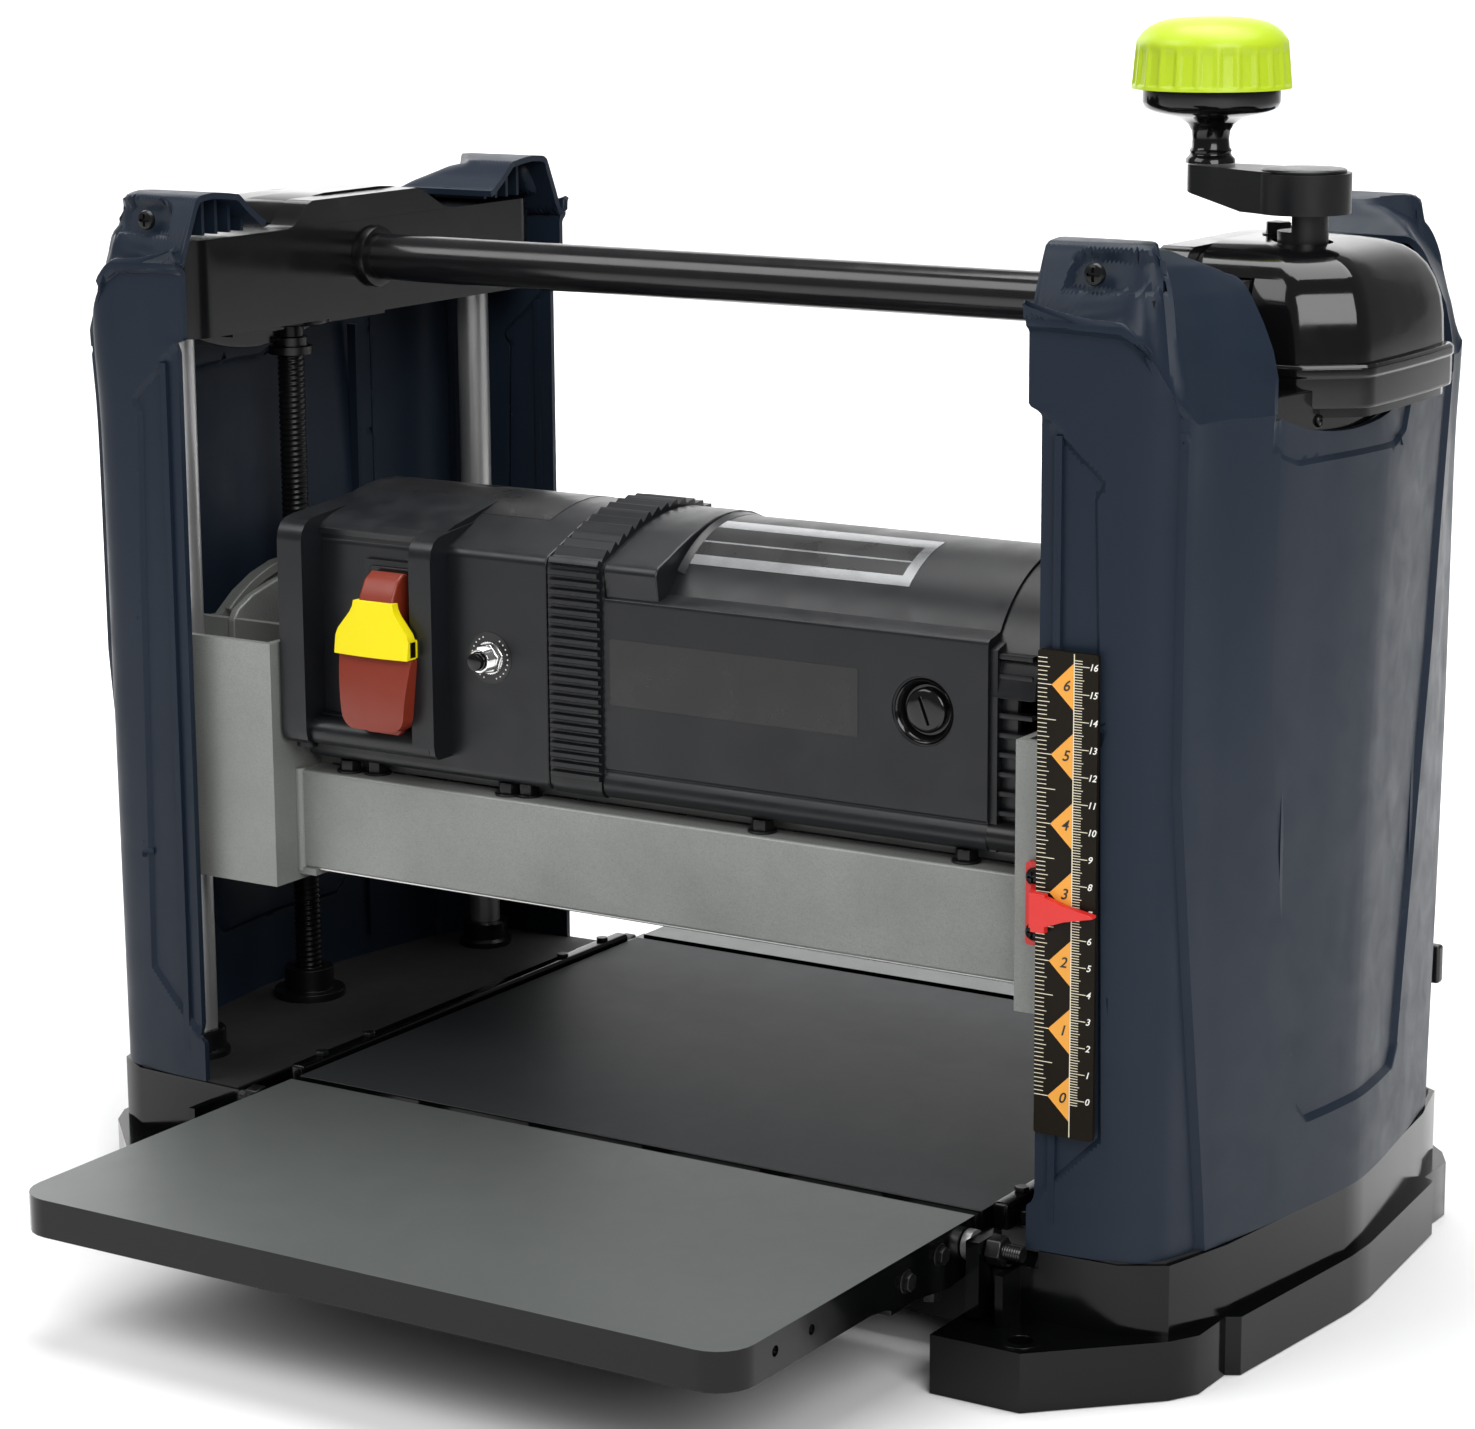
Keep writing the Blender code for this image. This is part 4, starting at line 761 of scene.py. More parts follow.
def about_cap(points):
    """Points (x, y from the cap's middle), then the same points mirrored past it."""
    near = [(x, CAP_Y + y) for x, y in points]
    return near + [(x, CAP_Y - y) for x, y in reversed(points)]


def cap_ring(inset):
    """A cap's plan, its outside moved in; the side that meets the bracket stays."""
    front = -CAP_HALF + inset * 0.9
    side = CAP_SIDE - inset
    bend = -CAP_HALF + CAP_BEND + inset * 0.6
    near = [(252.0 - inset * 0.7, front), (255.6 - inset * 0.8, front + 0.6),
            (258.6 - inset * 0.85, front + 2.2)]
    far = [(side - 4.0, bend - 2.0), (side - 1.8, bend + 0.6), (side - 1.0, bend + 5.0),
           (side - 0.1, -14.0)]
    return about_cap([(211.5, front), (236.0 - inset * 0.3, front), *near, *far])


def make_cap_body(side):
    """A cap as one solid with a rounded shoulder."""
    return loft([[placed("z", z, *p) for p in side_of(cap_ring(inset), side)] for inset, z in CAP_SHOULDER])


def band_outline(out):
    """The band's plan, moved out from the cap's."""
    front, side = -CAP_HALF - out, CAP_SIDE + out
    bend = front + CAP_BEND
    near = [(246.0, front), (253.0 + 0.4 * out, front), (256.6 + 0.5 * out, front + 0.8),
            (259.6 + 0.7 * out, front + 2.6)]
    return about_cap([*near, (side - 4.2, bend - 1.6), (side - 1.7, bend + 1.4), (side - 0.9, bend + 5.6),
                      (side, -12.0)])


def make_band_shape(side):
    """The raised band: a flat strap with a thicker upper rim."""
    profile = [(-1.2, 354.8), (2.3, 355.1), (2.6, 356.4), (2.6, 366.2), (3.1, 367.0), (3.1, 369.6),
               (2.2, 370.8), (-1.2, 370.9)]
    rings = [[placed("z", z, *p) for p in side_of(band_outline(out), side)] for out, z in profile]
    return loft(list(zip(*rings)))


def make_lip(side):
    """The cap's lip in the window's dip, its face along the cover's side."""
    dip = arc((DIP_Y, DIP_Z), DIP_RADIUS + 1.7, 248.4, 291.6, 24)
    slab = prism([*dip, (dip[-1][0], 362.0), (dip[0][0], 362.0)], "x", *span(side, 240.0, 274.0))
    beyond = [(257.6, -80.0), (259.9, -66.0), (263.2, -45.0), (266.2, -25.0), (267.9, -8.0), (268.2, 26.0)]
    past = prism(side_of([*beyond, (290.0, 26.0), (290.0, -80.0)], side), "z", 330.0, 370.0)
    return shaped(slab, cut=[past], bevel=0.5)


def make_caps():
    """The gear cover, the cap on the left that mirrors it, and what shows in their tops."""
    for side, word in ((1, "gear_cover"), (-1, "left_top_cap")):
        notch = box(*span(side, 190.0, 236.8), -80.0, 80.0, 340.0, 400.6)
        cuts = [notch]
        if side > 0:
            cuts.append(rod("z", (SCREW_X, SCREW_Y), 11.2, 404.0, 420.0, 40))
        shell = group(shaped(make_cap_body(side), cut=cuts), make_lip(side))
        piece(f"{word}_shell", shell, "black_gloss", "frame", [word], 50)
        strap = shaped(make_band_shape(side), bevel=0.25, segments=2)
        band = piece(f"{word}_strap", strap, "black_gloss", "frame")
        if side > 0:
            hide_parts("gear_cover_band")
        screws = [pan_screw("x", (-44.0, 350.6), 2.4, side * 263.1, side, 1.4),
                  pan_screw("x", (-30.0, 351.6), 1.3, side * 265.2, side, 0.8)]
        piece(f"{word}_screws", group(*screws), "dark_steel", "frame")
    washer = shaped(rod("z", (SCREW_X, SCREW_Y), 11.1, 403.6, 409.2, 40),
                    cut=[rod("z", (SCREW_X, SCREW_Y), 9.9, 400.0, 420.0, 40)])
    piece("crank_bush", washer, "bolt_black", "frame")
    at = (221.5, 8.5)
    head = shaped(hexagon("z", at, 9.0, 411.3, 416.3), joined=[rod("z", at, 6.0, 410.6, 412.0)])
    piece("cap_bolt", head, "bolt_black", "frame")


def make_brackets():
    """The beams that tie each post's columns at the top, with the carrying tube's collars."""
    hump = [(-58.0, 395.0), (-58.0, 400.0), (-53.5, 401.2), (-49.5, 404.5), (-46.0, 408.6), (-41.0, 410.6),
            (31.0, 410.6), (36.0, 409.2), (53.0, 400.0), (53.0, 395.0)]
    radius, depth = 15.0, 123.0
    for side, word in SIDES:
        front = arc((198.0 + radius, -depth + radius), radius, 180, 270, 10)
        beam = prism(side_of(both_ways(front + [(236.0, -depth)]), side), "z", 360.0, 400.0)
        bore = rod("z", (side * SCREW_X, SCREW_Y), 6.8, 300.0, 450.0)
        beam = shaped(beam, [prism(hump, "x", *span(side, 198.2, 211.2))], [bore], 1.7, 4, 40)
        piece(f"{word}_bracket", beam, "bracket_black", "frame", [f"{word}_top_bracket"])
        boss = shaped(rod("z", (side * SCREW_X, SCREW_Y), 17.0, 353.5, 360.4), bevel=0.8)
        ring = lathe("x", (0.0, TUBE_Z), [(10.2, side * 194.6), (12.6, side * 194.9), (13.2, side * 196.2),
                                         (13.2, side * 198.4), (10.2, side * 198.4)])
        piece(f"{word}_tube_collar", ring, "bolt_black", "frame")
        piece(f"{word}_bracket_boss", boss, "bolt_black", "frame")
        screws = [pan_screw("z", (side * COLUMN_X, end * COLUMN_Y), 5.0, 400.0, 1, 2.2) for end in (-1, 1)]
        piece(f"{word}_bracket_screws", group(*screws), "bolt_black", "frame")


def make_columns():
    """The carrying tube, the four guide columns in their sockets, and the screws' bearings."""
    tube = lathe("x", (0.0, TUBE_Z), [(9.9, -197.7), (9.9, 197.7)], 64)
    piece("carrying_handle", tube, "tube_black", "frame", ["handle_tube"])
    for side, word in SIDES:
        for end, place in ENDS:
            centre = (side * COLUMN_X, end * COLUMN_Y)
            column = lathe("z", centre, [(6.6, 50.3), (7.0, 51.0), (7.0, 359.0), (6.6, 359.7)], 64)
            piece(f"{place}_{word}_guide", column, "polished_steel", "frame", [f"{place}_{word}_column"])
            foot = lathe("z", centre, [(12.0, 50.2), (12.0, 53.0), (10.4, 54.2), (10.4, 61.5), (9.6, 62.4),
                                       (7.2, 62.4), (7.2, 50.2)], 40)
            piece(f"{place}_{word}_socket", foot, "bolt_black", "frame")
        refined(f"{word}_screw_bearing", 0.5, "bolt_black", "frame")


def threaded(centre, radius, low, high, pitch, depth, sides, smooth_ends):
    """An upright rod with a real helical thread, plain where the ends say."""
    rows = int((high - low) / pitch * 5)
    z = np.linspace(low, high, rows + 1)[:, None]
    turn = np.linspace(0.0, 1.0, sides, endpoint=False)[None, :]
    wave = np.abs(((z / pitch - turn) % 1.0) - 0.5) * 2.0
    plain = np.zeros(z.shape)
    for a, b in smooth_ends:
        plain = np.maximum(plain, ((z >= a) & (z <= b)).astype(float))
    r = radius - depth * np.clip(wave * 1.6 - 0.3, 0.0, 1.0) * (1 - plain)
    x = centre[0] + r * np.cos(2 * np.pi * turn)
    y = centre[1] + r * np.sin(2 * np.pi * turn)
    rings = [[Vector((x[i, j], y[i, j], z[i, 0])) * MM for j in range(sides)] for i in range(rows + 1)]
    return loft(rings)


def make_lift():
    """Both lifting screws with their collars and chain wheels."""
    for side, word, body, top in ((1, "right", "crank", 400.2), (-1, "left", "left_screw", 385.0)):
        centre = (side * SCREW_X, SCREW_Y)
        screw = threaded(centre, 6.0, 12.0, top, THREAD_PITCH, 0.55, 24, [(0, 64), (346, 420)])
        piece(f"{word}_lifting_screw", screw, "bolt_black", body, [f"{word}_leadscrew"], 60, False)
        collar = lathe("z", centre, [(6.1, 340.0), (9.6, 340.3), (9.6, 343.6), (7.6, 344.0), (7.6, 347.5),
                                     (6.1, 348.0)], 40)
        piece(f"{word}_screw_collar", collar, "dark_steel", body)
        teeth = []
        for k in range(48):
            angle = 2 * math.pi * k / 48
            radius = 15.0 + (1.6 if k % 4 in (1, 2) else -1.0)
            teeth.append((centre[0] + radius * math.cos(angle), centre[1] + radius * math.sin(angle)))
        hub = rod("z", centre, 11.0, 19.0, 27.0)
        wheel = shaped(prism(teeth, "z", 20.6, 25.4), joined=[hub], bevel=0.3, segments=1)
        piece(f"{word}_toothed_wheel", wheel, "dark_steel", body, [f"{word}_sprocket"])


def make_chain():
    """Links of two side plates and rollers, round both wheels."""
    radius = 17.6
    straight = 2 * SCREW_X
    total = 2 * straight + 2 * math.pi * radius
    count = 2 * round(total / CHAIN_PITCH / 2)
    pitch = total / count

    def at(run):
        """The place (x, y) at that run along the chain's loop."""
        run %= total
        if run < straight:
            return -SCREW_X + run, SCREW_Y - radius
        run -= straight
        if run < math.pi * radius:
            t = run / radius
            return SCREW_X + radius * math.sin(t), SCREW_Y - radius * math.cos(t)
        run -= math.pi * radius
        if run < straight:
            return SCREW_X - run, SCREW_Y + radius
        t = (run - straight) / radius
        return -SCREW_X - radius * math.sin(t), SCREW_Y + radius * math.cos(t)

    parts = []
    for k in range(count):
        here, there = at(k * pitch), at((k + 1) * pitch)
        heading = math.degrees(math.atan2(there[1] - here[1], there[0] - here[0]))
        plate = arc(here, 2.0, heading + 90, heading + 270, 6)
        plate += arc(there, 2.0, heading - 90, heading + 90, 6)
        gap = 0.0 if k % 2 else 0.7
        parts.append(prism(plate, "z", 20.0 + gap, 20.6 + gap))
        parts.append(prism(plate, "z", 25.4 - gap, 26.0 - gap))
        parts.append(rod("z", here, 1.4, 20.2, 25.8, 10))
    piece("roller_chain", group(*parts), "dark_steel", "frame", ["lift_chain"], 38, False)


# ---------------------------------------------------------------- crank and knob

CRANK_ARM, CRANK_ANGLE = 45.2, math.radians(165.3)


def crank_point(distance, across=0.0):
    """A place in plan, from its distance along the crank's arm and its distance to the side."""
    c, s = math.cos(CRANK_ANGLE), math.sin(CRANK_ANGLE)
    return SCREW_X + distance * c - across * s, SCREW_Y + distance * s + across * c


def make_crank():
    """The crank: shaft, hub, flat arm with a hollowed underside, and the disc on its hub."""
    centre = (SCREW_X, SCREW_Y)
    shaft = rod("z", centre, 9.4, 400.6, 422.5, 48)
    hub = rod("z", centre, 17.5, 421.6, 436.4, 72)
    tip = [crank_point(*p) for p in arc((CRANK_ARM, 0.0), 8.6, 78, -78, 10)]
    plan = [crank_point(2.0, -16.8), crank_point(2.0, 16.8)] + tip
    top = prism(plan, "z", 421.6, 437.0)
    below = [(-2.0, 421.0), (19.0, 421.6), (56.0, 427.8), (56.0, 415.0), (-2.0, 415.0)]
    under = prism(below, "y", -30.0, 30.0)
    at = Matrix.Translation(Vector((SCREW_X, SCREW_Y, 0.0)) * MM)
    under.data.transform(at @ Matrix.Rotation(CRANK_ANGLE, 4, "Z"))
    arm = shaped(hub, [top, shaft], [under], 1.1, 3, 35)
    button = [(15.6, 436.6), (15.6, 437.3), (15.0, 437.8), (10.0, 438.1), (0.02, 438.2)]
    disc = lathe("z", centre, button, 64)
    piece("crank_lever", group(arm, disc), "black_satin", "crank", ["crank_arm"])


def make_knob():
    """The knob: a turned stem, and a cap with bars round its rim and a domed top."""
    centre = crank_point(CRANK_ARM)
    stem = [(9.4, 437.6), (9.2, 439.2), (8.0, 440.4), (7.6, 441.2), (8.0, 442.2), (7.2, 443.4),
            (6.9, 446.6), (7.3, 449.6), (8.8, 452.0), (11.6, 453.9), (16.5, 455.2), (22.0, 456.6),
            (25.0, 458.2), (25.9, 460.4), (25.9, 465.0), (20.0, 465.2)]
    piece("knob_neck", lathe("z", centre, stem, 72), "black_gloss", "knob", ["knob_stem"], 50)
    bars, steps = 24, 10
    sides = bars * steps
    rim = [(0.0, 465.3), (0.0, 466.3), (0.25, 466.9), (0.7, 467.6), (0.7, 478.0), (0.5, 479.6),
           (0.0, 481.0), (0.0, 482.6)]
    dome = [(1.1, 484.4), (2.6, 486.2), (4.8, 488.0), (8.0, 489.6), (12.5, 490.7), (18.0, 491.3),
            (27.6, 491.5)]

    def ring(z, radius_at):
        return [placed("z", z, centre[0] + radius_at(i) * math.cos(2 * math.pi * i / sides),
                       centre[1] + radius_at(i) * math.sin(2 * math.pi * i / sides)) for i in range(sides)]

    def barred(i, depth, z):
        phase = abs(((i / steps) % 1.0) - 0.5) * 2.0
        bar = min(1.0, max(0.0, (phase - 0.58) * 5.0))
        return 30.0 - (z - rim[0][1]) * 0.092 - depth * 1.25 * (1 - bar)

    rings = [ring(z, lambda i, depth=depth, z=z: barred(i, depth, z)) for depth, z in rim]
    rings += [ring(z, lambda i, inset=inset: 28.4 - inset) for inset, z in dome]
    piece("knob_grip", loft(rings), "knob_lime", "knob", ["knob_cap"], 55)


# ---------------------------------------------------------------- base and tables


def two_faced(obj, top_finish, steepness=0.92):
    """Gives the faces that look up a second finish."""
    obj.data.materials.append(FINISH[top_finish])
    for face in obj.data.polygons:
        if face.normal.z > steepness and face.center.z > (TABLE_TOP - 1.0) * MM:
            face.material_index = 1


def bolt(axis, centre, across, seat, out, head=4.0, washer=0.0, turn=12.0):
    """A hex head on its washer, standing out from a seat."""
    low, high = sorted((seat, seat + out * (washer + head)))
    parts = [hexagon(axis, centre, across, low, high, turn)]
    if washer:
        low, high = sorted((seat, seat + out * washer))
        parts.append(shaped(rod(axis, centre, across * 0.72, low, high, 32), bevel=0.2, segments=1))
    return group(*parts)


def make_base():
    """The cast base with its toe ribs, gaskets, foot seats, bed rails and bolts, and the main bed."""
    ribs = []
    for side in (1, -1):
        for end in (1, -1):
            ribs.append(box(*span(side, 189.6, 192.8), *span(end, 133.0, 147.5), 22.0, 43.0))
            ribs.append(box(*span(side, 182.5, 192.0), *span(end, 133.5, 136.0), 22.0, 41.0))
    refined("base_casting", 1.1, "base_black", "frame", 3, 30.0, ribs)
    plan = both_ways([(178.0, -133.2), (231.0, -130.8), (245.8, -121.2), (254.2, -91.0), (264.8, -9.0)])
    seams = [prism(side_of(plan, side), "z", 49.2, 50.6) for side in (1, -1)]
    piece("base_gasket", group(*seams), "rubber_black", "frame")
    for side, word in SIDES:
        pads = []
        for end in (1, -1):
            at = (side * FOOT_X, end * FOOT_Y)
            pads.append(shaped(rod("z", at, 8.6, 22.6, 23.1, 40), cut=[rod("z", at, 4.6, 20.0, 26.0, 32)],
                               bevel=0.2))
        piece(f"{word}_foot_seats", group(*pads), "base_black", "frame")
    for word, low, high, screw_x in (("right", 173.6, 180.5, 177.0), ("left", -159.5, -152.5, -156.0)):
        rail = shaped(box(low, high, -121.0, 121.0, 46.0, 60.6), bevel=1.6)
        piece(f"{word}_side_rail", rail, "base_black", "frame")
        heads = [bolt("z", (screw_x, y), 5.0, 60.5, 1, 1.8) for y in (-104.0, -72.0, 72.0, 104.0)]
        piece(f"{word}_rail_screws", group(*heads), "dark_steel", "frame")
    for end, word in LEAVES:
        at = (end * 92.5, 57.5)
        stops = [bolt("z", (183.5, end * 109.0), 9.0, 50.0, 1, 5.0, 1.2),
                 bolt("x", at, 8.0, 180.6, 1, 5.0, 1.4), rod("x", at, 2.6, 180.0, 196.0, 24)]
        piece(f"{word}_bed_bolts", group(*stops), "bolt_black", "frame")
    two_faced(refined("main_table", 0.5, "base_black", "frame", 3), "table_grey")


def make_leaves():
    """The folding tables: a folded sheet each, with ribs below and the bolts that hang and level it."""
    for end, word in LEAVES:
        body = f"{word}_leaf"
        dents = []
        for y in (247.0, 271.0):
            dents.append(rod("x", (end * y, 51.2), 2.0, 170.5, 180.0, 24))
            dents.append(rod("x", (end * y, 51.2), 2.0, -160.0, -149.6, 24))
        leaf = refined(f"{word}_table", 1.0, "base_black", body, 4, 30.0, (), dents)
        two_faced(leaf, "table_sheet", 0.75)
        heads = []
        for y, z in ((157.5, 50.6), (182.0, 48.2)):
            heads.append(bolt("x", (end * y, z), 6.2, 172.0, 1, 2.2, 0.5, 20.0))
            heads.append(bolt("x", (end * y, z), 6.2, -151.0, -1, 2.2, 0.5, 20.0))
        heads += [bolt("z", (x, end * 153.0), 7.0, 37.0, -1, 5.0, 1.0) for x in (166.0, -145.0)]
        stays = [shaped(box(x - 4.4, x + 4.4, *span(end, 147.0, 190.0), 36.9, 39.4), bevel=0.5)
                 for x in (165.9, -144.9)]
        piece(f"{word}_leaf_bolts", group(*heads), "bolt_black", body)
        piece(f"{word}_leaf_stays", group(*stays), "base_black", body)
        ribs = [box(x - 1.1, x + 1.1, *span(end, 134.0, 295.5), 46.0, 55.1)
                for x in (-95.0, -40.0, 15.0, 70.0, 125.0)]
        ribs += [box(-147.8, 168.8, *span(end, y, y + 2.2), 46.0, 55.1) for y in (170.0, 215.0, 260.0)]
        piece(f"{word}_leaf_ribs", group(*ribs), "base_black", body)


def bolt_shank(centre, radius, low, high, threads):
    """A bolt's shank along x, threaded over that stretch."""
    sides, pitch, depth = 20, 1.0, 0.35
    rows = int((high - low) / 0.2)
    rings = []
    for i in range(rows + 1):
        x = low + (high - low) * i / rows
        ring = []
        for j in range(sides):
            turn = j / sides
            wave = abs(((x / pitch + turn) % 1.0) - 0.5) * 2.0
            r = radius - (depth * wave if threads[0] < x < threads[1] else 0.0)
            ring.append(placed("x", x, centre[0] + r * math.cos(2 * math.pi * turn),
                               centre[1] + r * math.sin(2 * math.pi * turn)))
        rings.append(ring)
    return loft(rings)


def make_fold_bolts():
    """The bolts that the folding tables turn on, each with its head, its nut and, on the right, a sleeve."""
    for end, word in LEAVES:
        centre = (end * FOLD_Y, FOLD_Z)
        for side, shank, threads, head, nut in (
            ("right", (164.5, 196.0), (188.0, 200.0), (164.6, 168.6), (182.4, 188.4)),
            ("left", (-172.0, -143.5), (-200.0, -140.0), (-147.6, -143.6), (-167.4, -161.4)),
        ):
            parts = [bolt_shank(centre, 3.0, *shank, threads), hexagon("x", centre, 9.0, *head, 15.0),
                     hexagon("x", centre, 10.4, *nut, 8.0)]
            piece(f"{word}_{side}_hinge_bolt", group(*parts), "dark_steel", "frame",
                  [f"{word}_fold_bolt_{side}"])
        sleeve = [(3.1, 172.4), (5.6, 172.4), (5.9, 172.8), (5.9, 176.0), (3.1, 176.1)]
        piece(f"{word}_hinge_sleeve", lathe("x", centre, sleeve, 40), "polished_steel", "frame")


# ---------------------------------------------------------------- depth scale and pointer

SCALE_LEFT, SCALE_RIGHT, SCALE_LINE = 199.0, 222.6, 213.2
SCALE_BOTTOM, SCALE_TOP, SCALE_ZERO = 96.2, 275.8, 111.0
PRINT_FRONT, PRINT_BACK = -135.70, -135.52
INCH = 25.4


def mark(x_low, x_high, z, height=0.26):
    """A printed line of that height, centred on z."""
    return prism(corners(x_low, x_high, z - height / 2, z + height / 2), "y", PRINT_FRONT, PRINT_BACK)


def numeral(word, size, x, z, lift=0.0):
    """A number in a slanted hand on the scale's face, centred on a place."""
    curve = bpy.data.curves.new("numeral", "FONT")
    curve.body = word
    curve.size = size * MM
    curve.shear = 0.28
    curve.offset = 0.012 * size * MM
    curve.extrude = 0.05 * MM
    curve.align_x = "CENTER"
    curve.align_y = "CENTER"
    made = linked(curve, "numeral")
    made.location = (x * MM, (PRINT_FRONT + 0.02 - lift) * MM, z * MM)
    made.rotation_euler = (math.pi / 2, 0.0, 0.0)
    bpy.context.view_layer.update()
    mesh = bpy.data.meshes.new_from_object(made.evaluated_get(bpy.context.evaluated_depsgraph_get()))
    mesh.transform(made.matrix_world)
    bpy.data.objects.remove(made)
    bpy.data.curves.remove(curve)
    return linked(mesh, "numeral")


def make_scale():
    """The depth scale: millimetre and sixteenth-inch lines, numbers, and a flag at each inch."""
    face = rounded(SCALE_LEFT - 0.5, SCALE_RIGHT, SCALE_BOTTOM, SCALE_TOP, 1.2)
    plate = shaped(prism(face, "y", -135.56, -133.6), bevel=0.15, segments=2)
    piece("scale_plate", plate, "scale_black", "frame", ["depth_scale"])
    middle, height = (SCALE_BOTTOM + SCALE_TOP) / 2, SCALE_TOP - SCALE_BOTTOM
    cream = [mark(SCALE_LINE - 0.22, SCALE_LINE + 0.12, middle, height - 1.0)]
    for k in range(-2, 163):
        z = SCALE_ZERO + k
        reach = 6.0 if k % 10 == 0 else 3.9 if k % 5 == 0 else 3.2
        cream.append(mark(SCALE_LINE + 0.1, SCALE_LINE + reach, z))
    for k in range(0, 104):
        z = SCALE_ZERO + k * INCH / 16
        reach = 5.2 if k % 16 == 0 else 7.0 if k % 8 == 0 else 4.4 if k % 4 == 0 else 3.4
        if z < SCALE_TOP - 2.0:
            cream.append(mark(SCALE_LEFT - 0.3, SCALE_LEFT + reach, z))
    piece("scale_ticks", group(*cream), "print_cream", "frame")
    edge = SCALE_LINE - 0.3
    for k in range(7):
        z = SCALE_ZERO + k * INCH
        outline = [(edge, z - 8.4), (edge, z + 8.4), (SCALE_LEFT + 5.2, z)]
        flag = prism(outline, "y", PRINT_FRONT + 0.02, PRINT_BACK)
        piece(f"scale_flag_{k}", flag, "print_orange", "frame")
    inches = [numeral(str(k), 5.6, SCALE_LINE - 3.2, SCALE_ZERO + k * INCH, 0.05) for k in range(7)]
    piece("scale_inch_numbers", group(*inches), "label_black", "frame")
    tens = [numeral(str(k), 3.5, SCALE_LINE + (7.5 if k > 9 else 7.0), SCALE_ZERO + 10 * k)
            for k in range(17)]
    piece("scale_centimetre_numbers", group(*tens), "print_white", "frame")


def make_pointer():
    """The red pointer, from its plate on the carriage round the cover's edge to its tip on the scale."""
    plate = prism(rounded(189.0, 197.4, 163.4, 194.6, 1.4), "y", -125.6, -123.0)
    neck = prism([(191.0, -125.0), (197.4, -137.2), (198.4, -139.3), (204.0, -139.3), (204.0, -136.4),
                  (200.0, -136.4), (196.6, -125.0)], "z", 172.6, 187.0)
    arrow = prism([(197.8, 174.0), (197.8, 187.0), (203.0, 186.2), (212.0, 183.6), (223.4, 181.6),
                   (223.4, 180.6), (212.0, 178.0), (203.0, 174.6)], "y", -139.4, -136.3)
    tip = shaped(plate, [neck, arrow], (), 0.45, 3, 30)
    piece("pointer_blade", tip, "pointer_red", "carriage", ["depth_pointer"])
    screws = [pan_screw("y", (192.8, z), 3.4, -125.6, -1, 2.0) for z in (168.7, 189.3)]
    piece("pointer_screws", group(*screws), "bolt_black", "carriage")


# ---------------------------------------------------------------- carriage castings


def arch_rim(radius, z, start, end):
    """A rim of an arch in y z, seen along x: the outer arc and back along the inner one."""
    return arc((0.0, z), radius + 0.4, start, end, 24) + arc((0.0, z), radius - 4.2, end, start, 24)


def make_carriage():
    """The silver castings: both ends, both beams and the deck, with their bushes and bolts."""
    rise = [(88.0, 198.0), (88.0, 238.0), (85.0, 242.0), (75.0, 247.0), (61.0, 250.5), (46.0, 252.5)]
    arch = rise + [(-y, z) for y, z in reversed(rise)]
    bush = [(7.6, 203.8), (10.4, 203.8), (10.6, 204.4), (10.6, 208.6), (10.2, 209.2), (7.6, 209.2)]
    for side, word in SIDES:
        refined(f"{word}_carriage_end", 1.3, "cast_silver", "carriage", 3, 30.0)
        web = shaped(prism(arch, "x", *span(side, 209.0, 213.0)), bevel=1.0)
        piece(f"{word}_carriage_web", web, "cast_silver", "carriage")
        ridge = prism(arch_rim(80.0, 170.0, 128.0, 52.0), "x", *span(side, 243.4, 247.0))
        piece(f"{word}_carriage_arch", shaped(ridge, bevel=0.7), "cast_silver", "carriage")
        at = (side * SCREW_X, SCREW_Y)
        nut = shaped(rod("z", at, 12.4, 231.4, 240.0), [], [rod("z", at, 7.6, 225.0, 250.0)], 0.8)
        piece(f"{word}_lift_nut", nut, "cast_silver", "carriage")
        plugs = [lathe("z", (side * COLUMN_X, end * COLUMN_Y), bush, 40) for end in (-1, 1)]
        piece(f"{word}_guide_bushes", group(*plugs), "bolt_black", "carriage")
    for end, word in ENDS:
        refined(f"{word}_beam", 1.4, "cast_silver", "carriage", 3)
        edge = shaped(box(-161.0, 182.0, *span(end, 92.4, 106.7), 141.4, 143.6), bevel=0.5)
        piece(f"{word}_beam_edge", edge, "ground_steel", "carriage")
        foot = box(-164.0, -153.0, *span(end, 96.0, 108.2), 139.2, 142.0)
        root = shaped(foot, [rod("z", (-161.4, end * 106.2), 2.6, 140.6, 184.0, 24)], bevel=0.6)
        piece(f"{word}_beam_root", root, "cast_silver", "carriage")
    refined("carriage_deck", 0.6, "cast_silver", "carriage")
    bolts = [bolt("z", (x, end * 99.5), 8.0, 183.6, 1, 4.2, 1.0)
             for x in (-140.0, -60.0, 60.0, 150.0) for end in (-1, 1)]
    piece("beam_bolts", group(*bolts), "bolt_black", "carriage")


# ---------------------------------------------------------------- motor


def housing(name, obj, replaces=(), smooth=38.0):
    """A piece of the motor's charcoal housing."""
    return piece(name, obj, "housing_black", "carriage", replaces, smooth)


